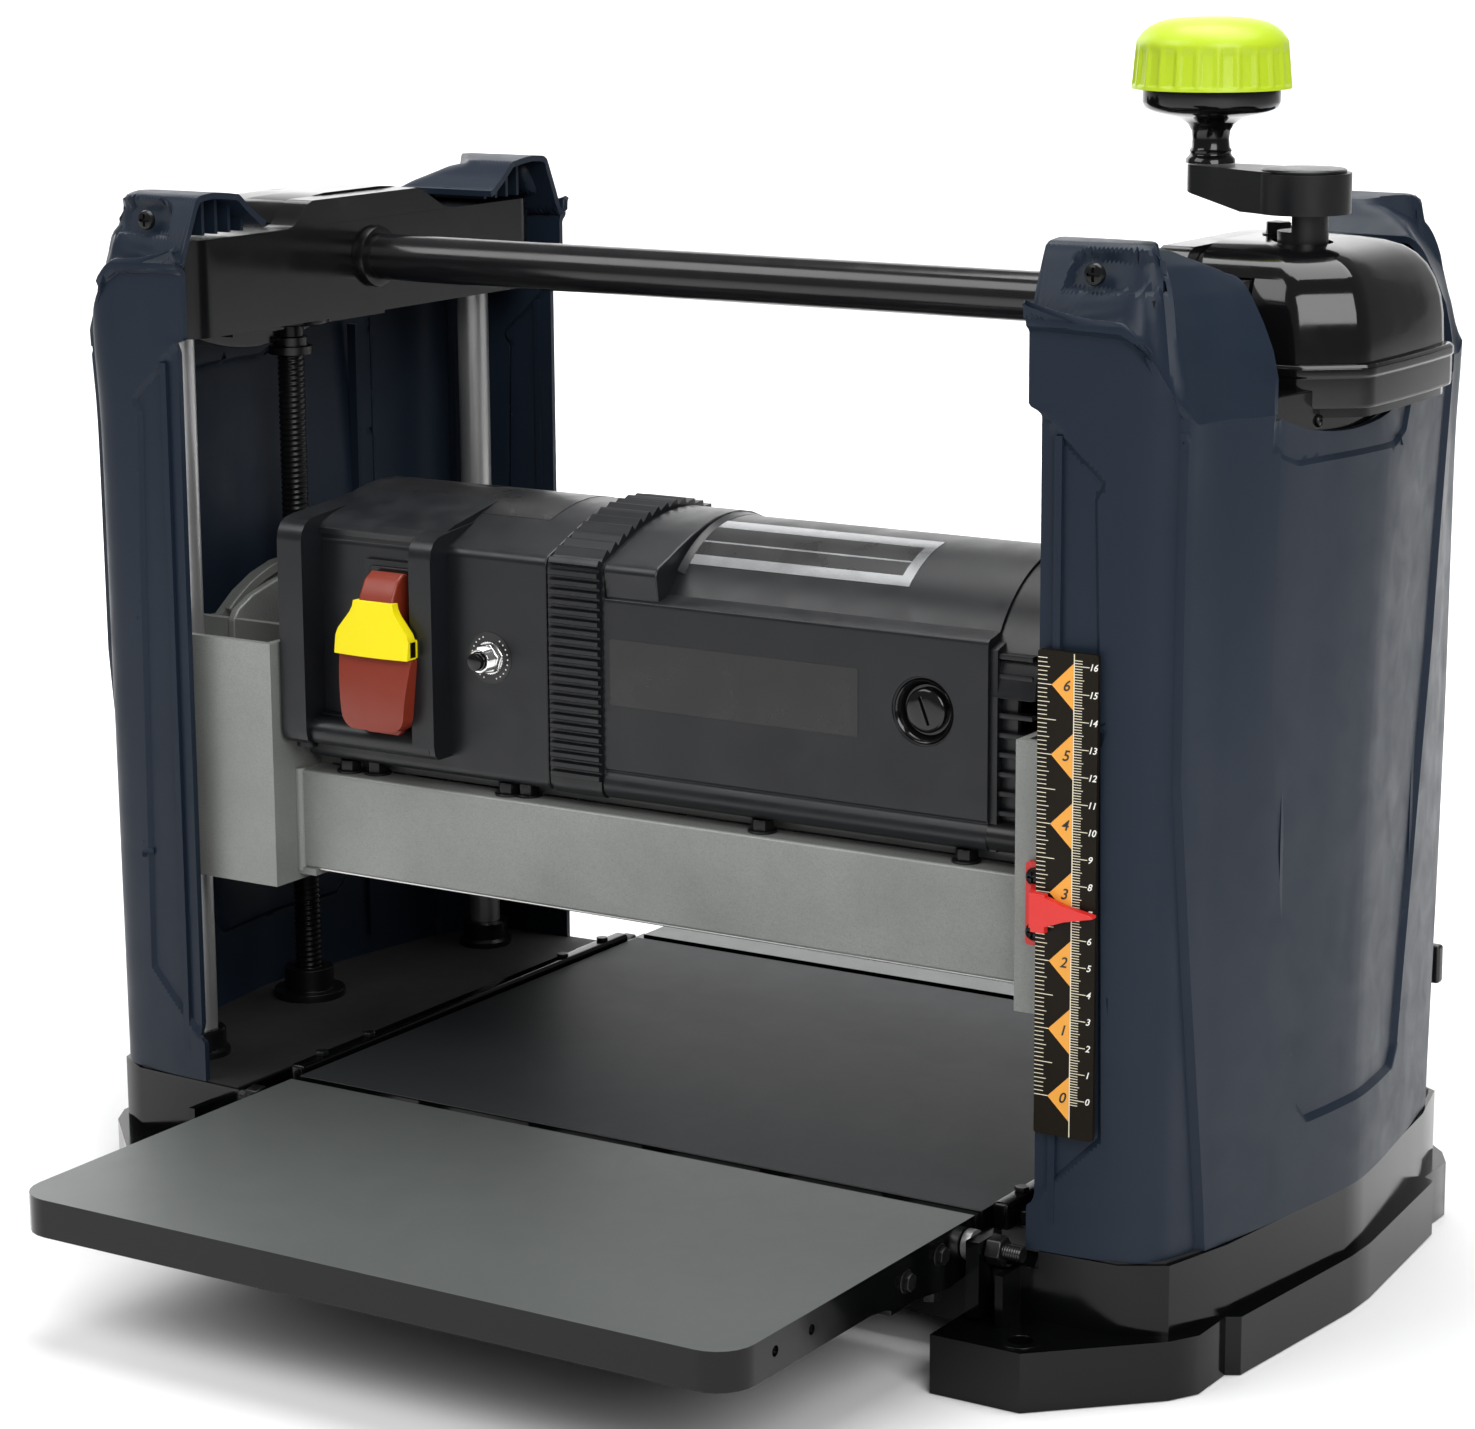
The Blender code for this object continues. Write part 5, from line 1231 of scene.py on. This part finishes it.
def boxy(grow, steps=7):
    """Cross-section in y z of the square-shouldered half of the motor, its outside moved out."""
    bottom = arc((-101.0, 193.2), 4.2 + grow, 258, 180, 5)
    top = arc((-100.5, 279.2), 4.6 + grow, 180, 108, steps)
    crown = [(-96.0, 285.8), (-88.0, 289.2), (-79.0, 292.6), (-70.0, 295.3), (-61.0, 297.0), (-52.0, 297.7),
             (-43.0, 297.4), (-34.0, 295.6), (-25.0, 292.2), (-16.0, 287.0), (-8.0, 280.6), (-1.0, 272.4),
             (4.0, 263.0), (7.0, 252.0), (8.0, 240.0), (8.0, 189.4)]
    moved = []
    for y, z in crown:
        away = Vector((y - MOTOR_Y, z - 232.0)).normalized() * grow
        moved.append((y + away.x, z + away.y if z > 190 else z))
    return bottom + top + moved


def path_points(outline, pitch):
    """Points along an open line in y z at an even pitch, their outward normals, and their runs."""
    line = np.array(outline, float)
    run = np.concatenate([[0.0], np.cumsum(np.linalg.norm(np.diff(line, axis=0), axis=1))])
    places = np.arange(0.0, run[-1], pitch)
    points = np.stack([np.interp(places, run, line[:, i]) for i in (0, 1)], axis=1)
    along = np.gradient(points, axis=0)
    normal = np.stack([-along[:, 1], along[:, 0]], axis=1)
    normal /= np.linalg.norm(normal, axis=1)[:, None]
    return points, normal, places


def ring_outline():
    """The ribbed ring's section: fine bars up its front, then ramped teeth over its crown."""
    points, normal, places = path_points(boxy(0.0, 12), 0.32)
    tall = np.zeros(len(points))
    shoulder = next(i for i, p in enumerate(points) if p[1] > 282.5)
    for i, place in enumerate(places):
        if points[i, 1] < 196.0 and points[i, 0] < -50.0:
            tall[i] = 0.6
        elif i < shoulder:
            phase = (place / 3.85) % 1.0
            tall[i] = 0.5 + 1.9 * min(1.0, max(0.0, (0.36 - abs(phase - 0.5)) * 9.0))
        elif points[i, 0] < 5.0:
            phase = ((place - places[shoulder]) / 6.3) % 1.0
            rise = min(1.0, phase * 1.25) if phase < 0.86 else (1.0 - phase) * 7.0
            tall[i] = 0.5 + 2.3 * max(0.0, rise)
        else:
            tall[i] = 0.5
    return [tuple(p + n * h) for p, n, h in zip(points, normal, tall)]


def motor_section():
    """Cross-section in y z of the motor case: a rounded lip, a flat front, a shelf, then the round."""
    front = [(-98.0, 189.3), (-102.6, 189.4), (-104.6, 190.6), (-106.0, 192.8), (-106.3, 195.2),
             (-105.6, 197.8), (-104.4, 199.4), (-104.2, 200.6), (-105.0, 201.8), (-105.0, 267.6),
             (-104.6, 269.0), (-103.4, 269.8), (-99.5, 270.6), (-97.2, 271.2)]
    return front + arc(MOTOR, 55.0, 146.2, 0.0, 44) + [(5.0, 225.0), (4.4, 200.0), (3.6, 189.6)]


def make_motor():
    """The round half of the motor: its case, the ribbed ring beside it, blank labels, rail and seat."""
    bore = rod("x", MOTOR, 50.0, 4.0, 170.0, 64)
    brush = rod("y", BRUSH, 12.6, -108.0, -97.0, 64)
    rim_cut = rod("y", BRUSH, 13.3, -110.0, -104.2, 64)
    case = shaped(prism(motor_section(), "x", -9.4, 161.6), [], [bore, brush, rim_cut], 1.1, 3, 40)
    housing("motor_case", case, ["motor_housing"])
    outline = [p for p in boxy(-0.1, 8) if p[1] > 270.0 and p[0] < -2.0] + [(-8.0, 267.0), (-103.0, 267.0)]
    hollow = rod("x", MOTOR, 52.0, -20.0, 30.0, 64)
    housing("motor_shoulder", shaped(prism(outline, "x", -9.4, 15.6), [], [hollow], 1.3, 3, 40))
    neck = lathe("x", MOTOR, [(54.0, 14.0), (56.2, 15.2), (55.6, 17.0), (55.15, 19.0), (54.0, 19.5)], 96)
    housing("motor_neck", overlap(neck, box(10.0, 24.0, -90.0, 5.0, 250.0, 300.0)))
    teeth = shaped(prism(ring_outline(), "x", -33.8, -10.6), [], [rod("x", MOTOR, 50.5, -60.0, 10.0, 64)])
    housing("ring_teeth", teeth, ["ribbed_ring"], 30)
    housing("ring_core", shaped(prism(boxy(-0.6), "x", -35.8, -9.0), [],
                                [rod("x", MOTOR, 50.5, -60.0, 10.0, 64)]))
    label = prism(rounded(-6.5, 106.0, 227.0, 253.5, 1.0), "y", -105.2, -104.6)
    label = shaped(label, bevel=0.08, segments=1)
    piece("front_label_blank", label, "label_black", "carriage")
    for name, finish, outer, inner, start, end, low, high, steps in (
        ("top_sticker_blank", "label_silver", 55.16, 54.7, 131.0, 99.0, 13.0, 117.0, 14),
        ("top_sticker_bar_0", "label_black", 55.22, 54.9, 125.6, 118.0, 18.0, 112.0, 6),
        ("top_sticker_bar_1", "label_black", 55.22, 54.9, 116.8, 106.4, 18.0, 112.0, 6),
    ):
        sticker = arc(MOTOR, outer, start, end, steps) + arc(MOTOR, inner, end, start, steps)
        piece(name, prism(sticker, "x", low, high), finish, "carriage", (), 30)
    make_brush_cap()
    make_end_cap()
    rail = lathe("x", (-100.5, 195.4), [(5.0, 161.0), (5.6, 161.6), (5.6, 181.8), (5.0, 182.5)], 40)
    piece("motor_rail", rail, "black_satin", "carriage")
    seat = shaped(box(-33.0, 160.0, -92.0, 0.0, 188.5, 190.5), bevel=0.4)
    piece("motor_seat", seat, "bolt_black", "carriage")


def make_brush_cap():
    """The brush's slotted screw cap in its dish."""
    x, z = BRUSH
    dish = [(12.5, -98.8), (12.5, -103.9), (12.0, -104.5), (11.3, -104.0), (10.4, -102.4), (9.6, -100.9),
            (0.05, -100.8)]
    cap = [(8.6, -100.6), (8.6, -102.4), (8.2, -103.2), (7.2, -103.7), (4.6, -104.0), (0.05, -104.05)]
    slot = box(x - 5.6, x + 5.6, -106.0, -103.0, z - 0.8, z + 0.8)
    at = Matrix.Translation(Vector((x, 0.0, z)) * MM)
    slot.data.transform(at @ Matrix.Rotation(SLOT_TURN, 4, "Y") @ at.inverted())
    piece("brush_well", lathe("y", BRUSH, dish, 64), "black_gloss", "carriage")
    cap = shaped(lathe("y", BRUSH, cap, 64), [], [slot])
    piece("brush_screw_cap", cap, "black_gloss", "carriage", ["brush_cap"])


def make_end_cap():
    """The outer end: a hood round a grille of slanted bars."""
    rim = prism(arc(MOTOR, 53.9, 172.0, 8.0, 40) + arc(MOTOR, 51.4, 8.0, 172.0, 40), "x", 161.0, 180.2)
    front = [(-103.2, 189.6), (-103.2, 266.0), (-97.0, 268.0), (-90.0, 262.0), (-97.0, 250.0),
             (-99.4, 241.0), (-99.4, 189.6)]
    hood = shaped(rim, [prism(front, "x", 161.0, 164.6)], [], 0.7, 3, 35)
    housing("grille_hood", hood, ["motor_end_cap"])
    bars = []
    for number in range(10):
        z = 196.0 + 7.4 * number
        half = math.sqrt(max(0.0, 52.0**2 - (z + 2.0 - MOTOR_Z) ** 2))
        y_front = -102.2 if z < 264.0 else MOTOR_Y - half
        bar = prism(corners(y_front, MOTOR_Y + min(half, 51.0), z, z + 2.1), "x", 163.6, 178.6)
        bars.append(shaped(bar, bevel=0.45, segments=2))
    for y in (-98.0, -74.0, -50.0, -26.0, -2.0):
        half = math.sqrt(max(0.0, 51.5**2 - (y - MOTOR_Y) ** 2))
        bars.append(box(163.0, 171.0, y - 1.2, y + 1.2, 190.0, MOTOR_Z + max(half, 24.0) - 1.0))
    housing("grille_bars", group(*bars))
    disc = rod("x", MOTOR, 50.5, 163.0, 164.2, 64)
    back = shaped(disc, [], [box(160.0, 170.0, -110.0, 10.0, 180.0, 189.6)])
    # Painted shade: this near-black matte disc behind the grille bars stands in for the shadowed inside of
    # the motor.
    piece("grille_back", back, "dark_hole", "carriage")
    housing("grille_foot", shaped(box(161.0, 179.5, -100.0, 3.0, 189.2, 192.0), bevel=0.6))
    hub = [(0.05, 179.8), (12.0, 179.6), (15.5, 178.8), (16.8, 176.8), (16.8, 171.0), (0.05, 170.8)]
    housing("grille_hub", lathe("x", MOTOR, hub, 64))


def make_drive_side():
    """The squarer housing behind the switch, the blank sticker on its crown, its bolts and its seat."""
    outline = boxy(0.0, 9)
    centre = Vector((MOTOR_Y, 240.0))
    hollow = []
    for point in outline:
        p = Vector(point)
        hollow.append(tuple(p + (centre - p).normalized() * 3.6))
    cuts = [prism(hollow, "x", -170.0, -41.0), rod("x", MOTOR, 10.2, -60.0, -20.0, 48),
            rod("y", BREAKER, 4.6, -120.0, -90.0, 32)]
    case = shaped(prism(outline, "x", -157.6, -36.2), [], cuts, 0.9, 3, 40)
    housing("drive_case", case, ["drive_housing"])
    crown = [p for p in boxy(0.16, 9) if -83.0 < p[0] < -30.0]
    under = [(y, z - 0.4) for y, z in reversed(crown)]
    sticker = prism(crown + under, "x", -150.0, -52.0)
    piece("crown_sticker_blank", sticker, "label_black", "carriage", (), 30)
    feet = [bolt("z", (x, -97.0), 8.0, 183.6, 1, 5.4, 1.0) for x in (-128.0, -52.0)]
    piece("drive_case_bolts", group(*feet), "bolt_black", "carriage")
    seat = shaped(box(-150.0, 155.0, -88.0, 3.0, 188.4, 192.5), bevel=0.4)
    piece("drive_case_seat", seat, "rubber_black", "carriage")


# ---------------------------------------------------------------- switch and breaker


def flange(x_low, x_high, front, top, back):
    """An upright of the switch frame: a rounded fin whose top runs back over the housing."""
    outline = [(front + 3.2, 197.4), (front + 0.9, 199.2), (front, 203.0), (front, top - 9.0),
               (front + 0.8, top - 5.0), (front + 2.8, top - 2.0), (front + 6.0, top - 0.2),
               (front + 11.0, top + 0.6), (back, top + 4.4), (back + 1.5, top + 1.5), (-92.0, top - 6.5),
               (-103.8, top - 10.0), (-103.8, 197.4)]
    return prism(outline, "x", x_low, x_high)


def make_switch_guard():
    """The frame round the switch: two fins joined by a bar below and a web above, and a well."""
    fins = [flange(-160.0, -147.6, -118.5, 290.0, -62.0), flange(-95.4, -84.6, -116.2, 287.6, -66.0)]
    skin = [(-104.6, 199.0), (-104.6, 287.0), (-96.0, 289.6), (-96.0, 283.0), (-103.0, 281.0),
            (-103.0, 199.0)]
    bar = lathe("x", (-110.6, 202.4), [(4.8, -158.5), (5.6, -157.6), (5.6, -87.4), (4.8, -86.6)], 40)
    web = box(-158.0, -88.0, -108.0, -103.8, 197.4, 209.0)
    top = [(-105.8, 283.2), (-106.4, 285.6), (-104.0, 288.0), (-98.0, 290.2), (-66.0, 296.4),
           (-64.0, 294.0), (-98.0, 286.0), (-103.0, 283.0)]
    rim = prism(rounded(-124.8, -95.8, 223.5, 275.0, 1.4), "y", -106.9, -103.6)
    well = rounded(-121.8, -98.6, 226.6, 271.8, 1.0)
    joined = [fins[1], prism(skin, "x", -150.0, -88.0), bar, web, prism(top, "x", -149.0, -86.0), rim]
    guard = shaped(fins[0], joined, [prism(well, "y", -112.0, -105.2)], 0.9, 3, 32)
    housing("switch_surround", guard, ["switch_guard"])
    # Painted shade: this near-black matte sheet at the bottom of the switch well stands in for the shade
    # inside the recess.
    piece("switch_well", prism(well, "y", -105.3, -104.9), "dark_hole", "carriage")
    bezel = shaped(prism(rounded(-121.2, -99.2, 262.0, 272.6, 1.0), "y", -107.8, -104.8), bevel=0.4)
    piece("switch_bezel", bezel, "black_gloss", "carriage")
    foot = rod("z", (-153.8, -110.2), 4.4, 195.0, 199.6, 32)
    piece("switch_surround_foot", foot, "bolt_black", "carriage")


def paddle_outline(x, low, high, wide_low, wide_high, radius):
    """A plate's outline in x z, wider at one end than the other, its lower corners round."""
    points = arc((x - wide_low / 2 + radius, low + radius), radius, 180, 270, 6)
    points += arc((x + wide_low / 2 - radius, low + radius), radius, 270, 360, 6)
    points += [(x + wide_high / 2, high), (x - wide_high / 2, high)]
    return points


def curved_plate(outline, back, front_of):
    """A thick plate in x z whose front follows front_of(x, z) and whose back is flat."""
    xs, zs = np.array(outline).T
    solid = prism(outline, "y", back, front_of(xs, zs).min() - 3.0)
    margin, pitch, reach = 4.0, 1.2, 12.0
    across = np.linspace(xs.min() - margin, xs.max() + margin, int((np.ptp(xs) + 2 * margin) / pitch))
    upward = np.linspace(zs.min() - margin, zs.max() + margin, int((np.ptp(zs) + 2 * margin) / pitch))
    front = front_of(*np.meshgrid(across, upward))
    beyond = front.min() - reach
    rings = []
    for z, row in zip(upward, front):
        near = [placed("y", y, x, z) for x, y in zip(across, row)]
        rings.append(near + [placed("y", beyond, x, z) for x in across[::-1]])
    return shaped(solid, [], [loft(rings)])


def make_paddle():
    """The red paddle, swollen towards its foot, and the yellow key pushed in over it."""
    x = PADDLE_X

    def red_front(px, pz):
        swell = np.clip((262.0 - pz) / 50.0, 0.0, 1.0)
        return -114.5 - 9.6 * np.sin(swell * math.pi * 0.56) ** 1.1 + 0.004 * (px - x) ** 2

    red = curved_plate(paddle_outline(x, 208.6, 238.2, 31.0, 36.2, 6.5), -108.6, red_front)
    lip = shaped(prism(rounded(x - 9.0, x + 9.0, 205.9, 211.0, 2.0), "y", -116.5, -110.0), bevel=0.8)
    head = [(-107.4, 250.0), (-107.4, 270.6), (-110.8, 271.3), (-115.4, 268.6), (-118.8, 262.6),
            (-120.6, 255.0), (-121.0, 250.0)]
    head = shaped(prism(head, "x", x - 8.6, x + 8.6), bevel=1.3, angle=50.0)
    neck = box(x - 8.2, x + 8.2, -116.8, -107.6, 234.0, 254.0)
    paddle = group(shaped(red, bevel=0.7, segments=3, angle=40.0), lip, head, neck)
    piece("stop_paddle", paddle, "switch_red", "paddle", ["switch_paddle"], 45)

    def key_front(px, pz):
        return -121.4 - 3.2 * np.clip((260.5 - pz) / 22.0, 0.0, 1.0) + 0.004 * (px - x) ** 2

    half = [(18.3, 238.7), (18.3, 246.0), (17.2, 248.8), (11.6, 255.6), (10.2, 258.2), (9.8, 260.6)]
    outline = [(x + across, z) for across, z in half] + [(x - across, z) for across, z in reversed(half)]
    key = shaped(curved_plate(outline, -117.3, key_front), bevel=0.75, segments=3, angle=40.0)
    sides = []
    for middle in (x - 17.0, x + 17.0):
        sides.append(shaped(box(middle - 1.3, middle + 1.3, -121.5, -110.4, 238.9, 246.4), bevel=0.6))
    blade = shaped(box(x - 8.8, x + 8.8, -121.4, -117.0, 239.0, 259.5), bevel=0.5)
    piece("yellow_key", group(key, *sides, blade), "key_yellow", "key", ["safety_key"], 45)


def make_breaker():
    """The breaker: a blank round label with ticks, a nut on a toothed washer, and its button in a neck."""
    plate = shaped(rod("y", BREAKER, 10.4, -105.35, -104.9, 64), [],
                   [rod("y", BREAKER, 4.7, -110.0, -100.0)])
    piece("breaker_label_blank", plate, "label_black", "carriage")
    places = circle(BREAKER, 8.7, 26)
    gaps = (5, 6, 7, 19, 20)
    ticks = [prism(circle(at, 0.34, 8), "y", -105.42, -105.2)
             for k, at in enumerate(places) if k not in gaps]
    piece("breaker_label_dots", group(*ticks), "print_white", "carriage", (), 30)
    nut = shaped(hexagon("y", BREAKER, 11.4, -108.4, -105.5, 11.0), [],
                 [rod("y", BREAKER, 4.3, -112.0, -100.0)])
    valleys, tips = circle(BREAKER, 6.35, 72), circle(BREAKER, 6.7, 72)
    teeth = [tips[k] if k % 2 else valleys[k] for k in range(72)]
    washer = shaped(prism(teeth, "y", -105.9, -105.3), [], [rod("y", BREAKER, 4.3, -112.0, -100.0)])
    piece("breaker_nut", group(nut, washer), "chrome_steel", "carriage", ["breaker_collar"])
    neck = [(4.3, -105.0)]
    for k in range(9):
        y = -108.4 - k * 0.5
        neck += [(4.9, y), (4.5, y - 0.25)]
    neck += [(4.75, -112.9), (4.4, -113.1), (4.3, -113.1)]
    neck = shaped(lathe("y", BREAKER, neck, 48), [], [rod("y", BREAKER, 3.95, -120.0, -100.0, 40)])
    piece("breaker_neck", neck, "chrome_steel", "carriage")
    button = [(3.6, -99.2), (3.6, -115.4), (3.3, -116.1), (2.6, -116.45), (0.05, -116.5)]
    piece("breaker_button", lathe("y", BREAKER, button, 48), "black_gloss", "reset", ["reset_button"])


# ---------------------------------------------------------------- inside and rear


def make_cutter():
    """The cutterhead with its knives and their clamp bolts, and the feed rollers."""
    refined("cutterhead_drum", 0.5, "ground_steel", "cutterhead")
    refined("first_knife", 0.12, "polished_steel", "cutterhead", 1)
    refined("second_knife", 0.12, "polished_steel", "cutterhead", 1)
    for _, word in LEAVES:
        refined(f"{word}_roller", 0.6, "rubber_black", f"{word}_feed_roller")
    clamps = []
    for angle in (60.0, 240.0):
        t = math.radians(angle) - 0.28
        at = (23.0 * math.cos(t), CUTTER_Z + 23.0 * math.sin(t))
        for k in range(7):
            x = -130.0 + 46.5 * k
            clamps.append(shaped(rod("x", at, 2.2, x - 3.0, x + 3.0, 6), bevel=0.3, segments=1))
    piece("knife_clamp_bolts", group(*clamps), "bolt_black", "cutterhead")


def grooved_wheel(centre, radius, low, high, grooves):
    """A pulley with small V grooves round its rim."""
    profile = [(radius * 0.45, low), (radius - 0.2, low)]
    width = (high - low - 2.0) / grooves
    for k in range(grooves):
        start = low + 1.0 + k * width
        profile += [(radius - 0.2, start), (radius - 1.3, start + width / 2)]
    profile += [(radius - 0.2, high - 1.0), (radius - 0.2, high), (radius * 0.45, high)]
    return lathe("x", centre, profile, 64)


def make_drive():
    """The belt drive, the motor's inside, the chip deflector and the rear's vents and blank plate."""
    for node, body, centre, radius in (("motor_pulley", "rotor", MOTOR, 15.0),
                                       ("cutterhead_pulley", "cutterhead", CUTTER, 26.0)):
        wheel = shaped(grooved_wheel(centre, radius, -190.0, -176.0, 5), [],
                       [rod("x", centre, 6.3, -200.0, -170.0)])
        piece(f"{node}_grooved", wheel, "dark_steel", body, [node])
        piece(f"{node}_nut", hexagon("x", centre, 14.0, -192.6, -188.4, 10.0), "bolt_black", body)
    refined("drive_belt", 0.4, "rubber_black", "carriage", 2, 50.0)
    refined("motor_rotor", 0.5, "copper", "rotor")
    refined("motor_fan", 0.4, "black_satin", "rotor", 1)
    refined("motor_stator", 0.6, "dark_steel", "carriage")
    piece("chip_hood", rounded_copy("chip_deflector", 0.8), "black_satin", "carriage", ["chip_deflector"])
    vents = []
    for k in range(9):
        x = -128.0 + 12.0 * k
        vents.append(shaped(box(x, x + 4.0, 7.4, 9.6, 206.0, 262.0), bevel=0.5))
    housing("rear_vents", group(*vents))
    rear = shaped(prism(rounded(20.0, 120.0, 205.0, 232.0, 1.5), "y", 4.6, 5.4), bevel=0.2)
    piece("rear_plate_blank", rear, "label_silver", "carriage")


def make_rear():
    """The tool clip behind the right post and the hex key that it stores."""
    refined("rear_tool_clip", 0.8, "cover_slate", "frame")
    shank = prism(circle((222.0, 140.7), 2.0, 6), "z", 80.0, 150.0)
    handle = shaped(box(222.0, 241.6, 138.2, 143.4, 90.6, 107.0), bevel=1.4)
    piece("stored_key", group(shank, handle), "dark_steel", "frame")


# ---------------------------------------------------------------- what is left of the CAD, and the studio


def finish_cad():
    """Gives each CAD node its own procedural finish, in an object slot."""
    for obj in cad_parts.values():
        slot = obj.data.materials[0].name.split(".")[0]
        obj.material_slots[0].link = "OBJECT"
        obj.material_slots[0].material = FINISH[slot]


def make_studio():
    """White paper that curves up behind the planer, a dim white world, and five soft lights."""
    bpy.context.scene.view_settings.view_transform = "Standard"
    world = bpy.data.worlds.new("studio")
    bpy.context.scene.world = world
    world.use_nodes = True
    sky = world.node_tree.nodes["Background"]
    sky.inputs["Color"].default_value = (1.0, 1.0, 1.0, 1.0)
    sky.inputs["Strength"].default_value = 0.20
    bm = bmesh.new()
    reach, wall, curve, below = 3.2, 2.6, 0.7, 0.0004
    line = [(-reach, 0.0)]
    for i in range(13):
        t = math.pi / 2 * i / 12
        line.append((reach - curve + curve * math.sin(t), curve - curve * math.cos(t)))
    line.append((reach, wall))
    rows = [[bm.verts.new((x, y, z - below)) for y, z in line] for x in (-4.5, 4.5)]
    for i in range(len(line) - 1):
        bm.faces.new((rows[0][i], rows[0][i + 1], rows[1][i + 1], rows[1][i]))
    floor = mesh_object(bm, "studio_floor")
    floor.data.shade_smooth()
    floor.matrix_world = Matrix.Rotation(CAMERA_HEADING, 4, "Z")
    made, tree, shader, where = nodes_of("studio_paper")
    cloud = noise(tree, where, 3.0, 4.0)
    paper = blend(tree, ramp(tree, cloud, 0.0, 1.0), (0.90, 0.90, 0.90), (0.93, 0.93, 0.93))
    tree.links.new(paper, shader.inputs["Base Color"])
    shader.inputs["Roughness"].default_value = 0.9
    shader.inputs["Specular IOR Level"].default_value = 0.1
    bump(tree, shader, [(noise(tree, where, 900.0, 2.0), 0.05, 0.0001)])
    floor.data.materials.append(made)
    for name, place, aim, size, power in (
        ("key_softbox", (-1.1, -1.5, 2.0), (0.0, 0.0, 0.2), (1.6, 1.2), 26.0),
        ("fill_softbox", (1.7, -1.5, 1.5), (-0.1, 0.0, 0.22), (1.4, 1.4), 40.0),
        ("top_softbox", (0.1, 0.4, 2.4), (0.0, 0.0, 0.3), (2.2, 1.6), 60.0),
        ("backdrop_softbox", (-0.6, 1.0, 1.9), (-1.6, 2.6, 0.9), (2.6, 1.2), 60.0),
        ("rim_softbox", (-2.2, 1.0, 1.2), (-0.1, 0.0, 0.25), (1.0, 1.6), 12.0),
    ):
        light = bpy.data.lights.new(name, "AREA")
        light.shape = "RECTANGLE"
        light.size, light.size_y = size
        light.energy = power
        lamp = linked(light, name)
        lamp.location = place
        lamp.rotation_euler = (Vector(aim) - Vector(place)).to_track_quat("-Z", "Y").to_euler()


def make_camera():
    """The camera that the photograph was fitted to."""
    sensor = bpy.data.cameras.new("photo_view")
    sensor.lens = LENS
    sensor.sensor_width = SENSOR
    sensor.sensor_fit = "HORIZONTAL"
    sensor.clip_start, sensor.clip_end = 0.05, 20.0
    camera = linked(sensor, "photo_view")
    level = Vector((math.cos(CAMERA_HEADING), math.sin(CAMERA_HEADING), 0.0))
    ahead = Vector((-level.y, level.x, 0.0))
    look = ahead * math.cos(CAMERA_PITCH) - Vector((0.0, 0.0, math.sin(CAMERA_PITCH)))
    upright = level.cross(look)
    right = level * math.cos(CAMERA_ROLL) + upright * math.sin(CAMERA_ROLL)
    up = upright * math.cos(CAMERA_ROLL) - level * math.sin(CAMERA_ROLL)
    turn = Matrix((right, up, -look)).transposed().to_4x4()
    camera.matrix_world = Matrix.Translation(Vector(CAMERA_AT)) @ turn
    bpy.context.scene.camera = camera


make_covers()
make_caps()
make_brackets()
make_columns()
make_lift()
make_chain()
make_crank()
make_knob()
make_base()
make_leaves()
make_fold_bolts()
make_scale()
make_pointer()
make_carriage()
make_motor()
make_drive_side()
make_switch_guard()
make_paddle()
make_breaker()
make_cutter()
make_drive()
make_rear()
finish_cad()
make_studio()
make_camera()
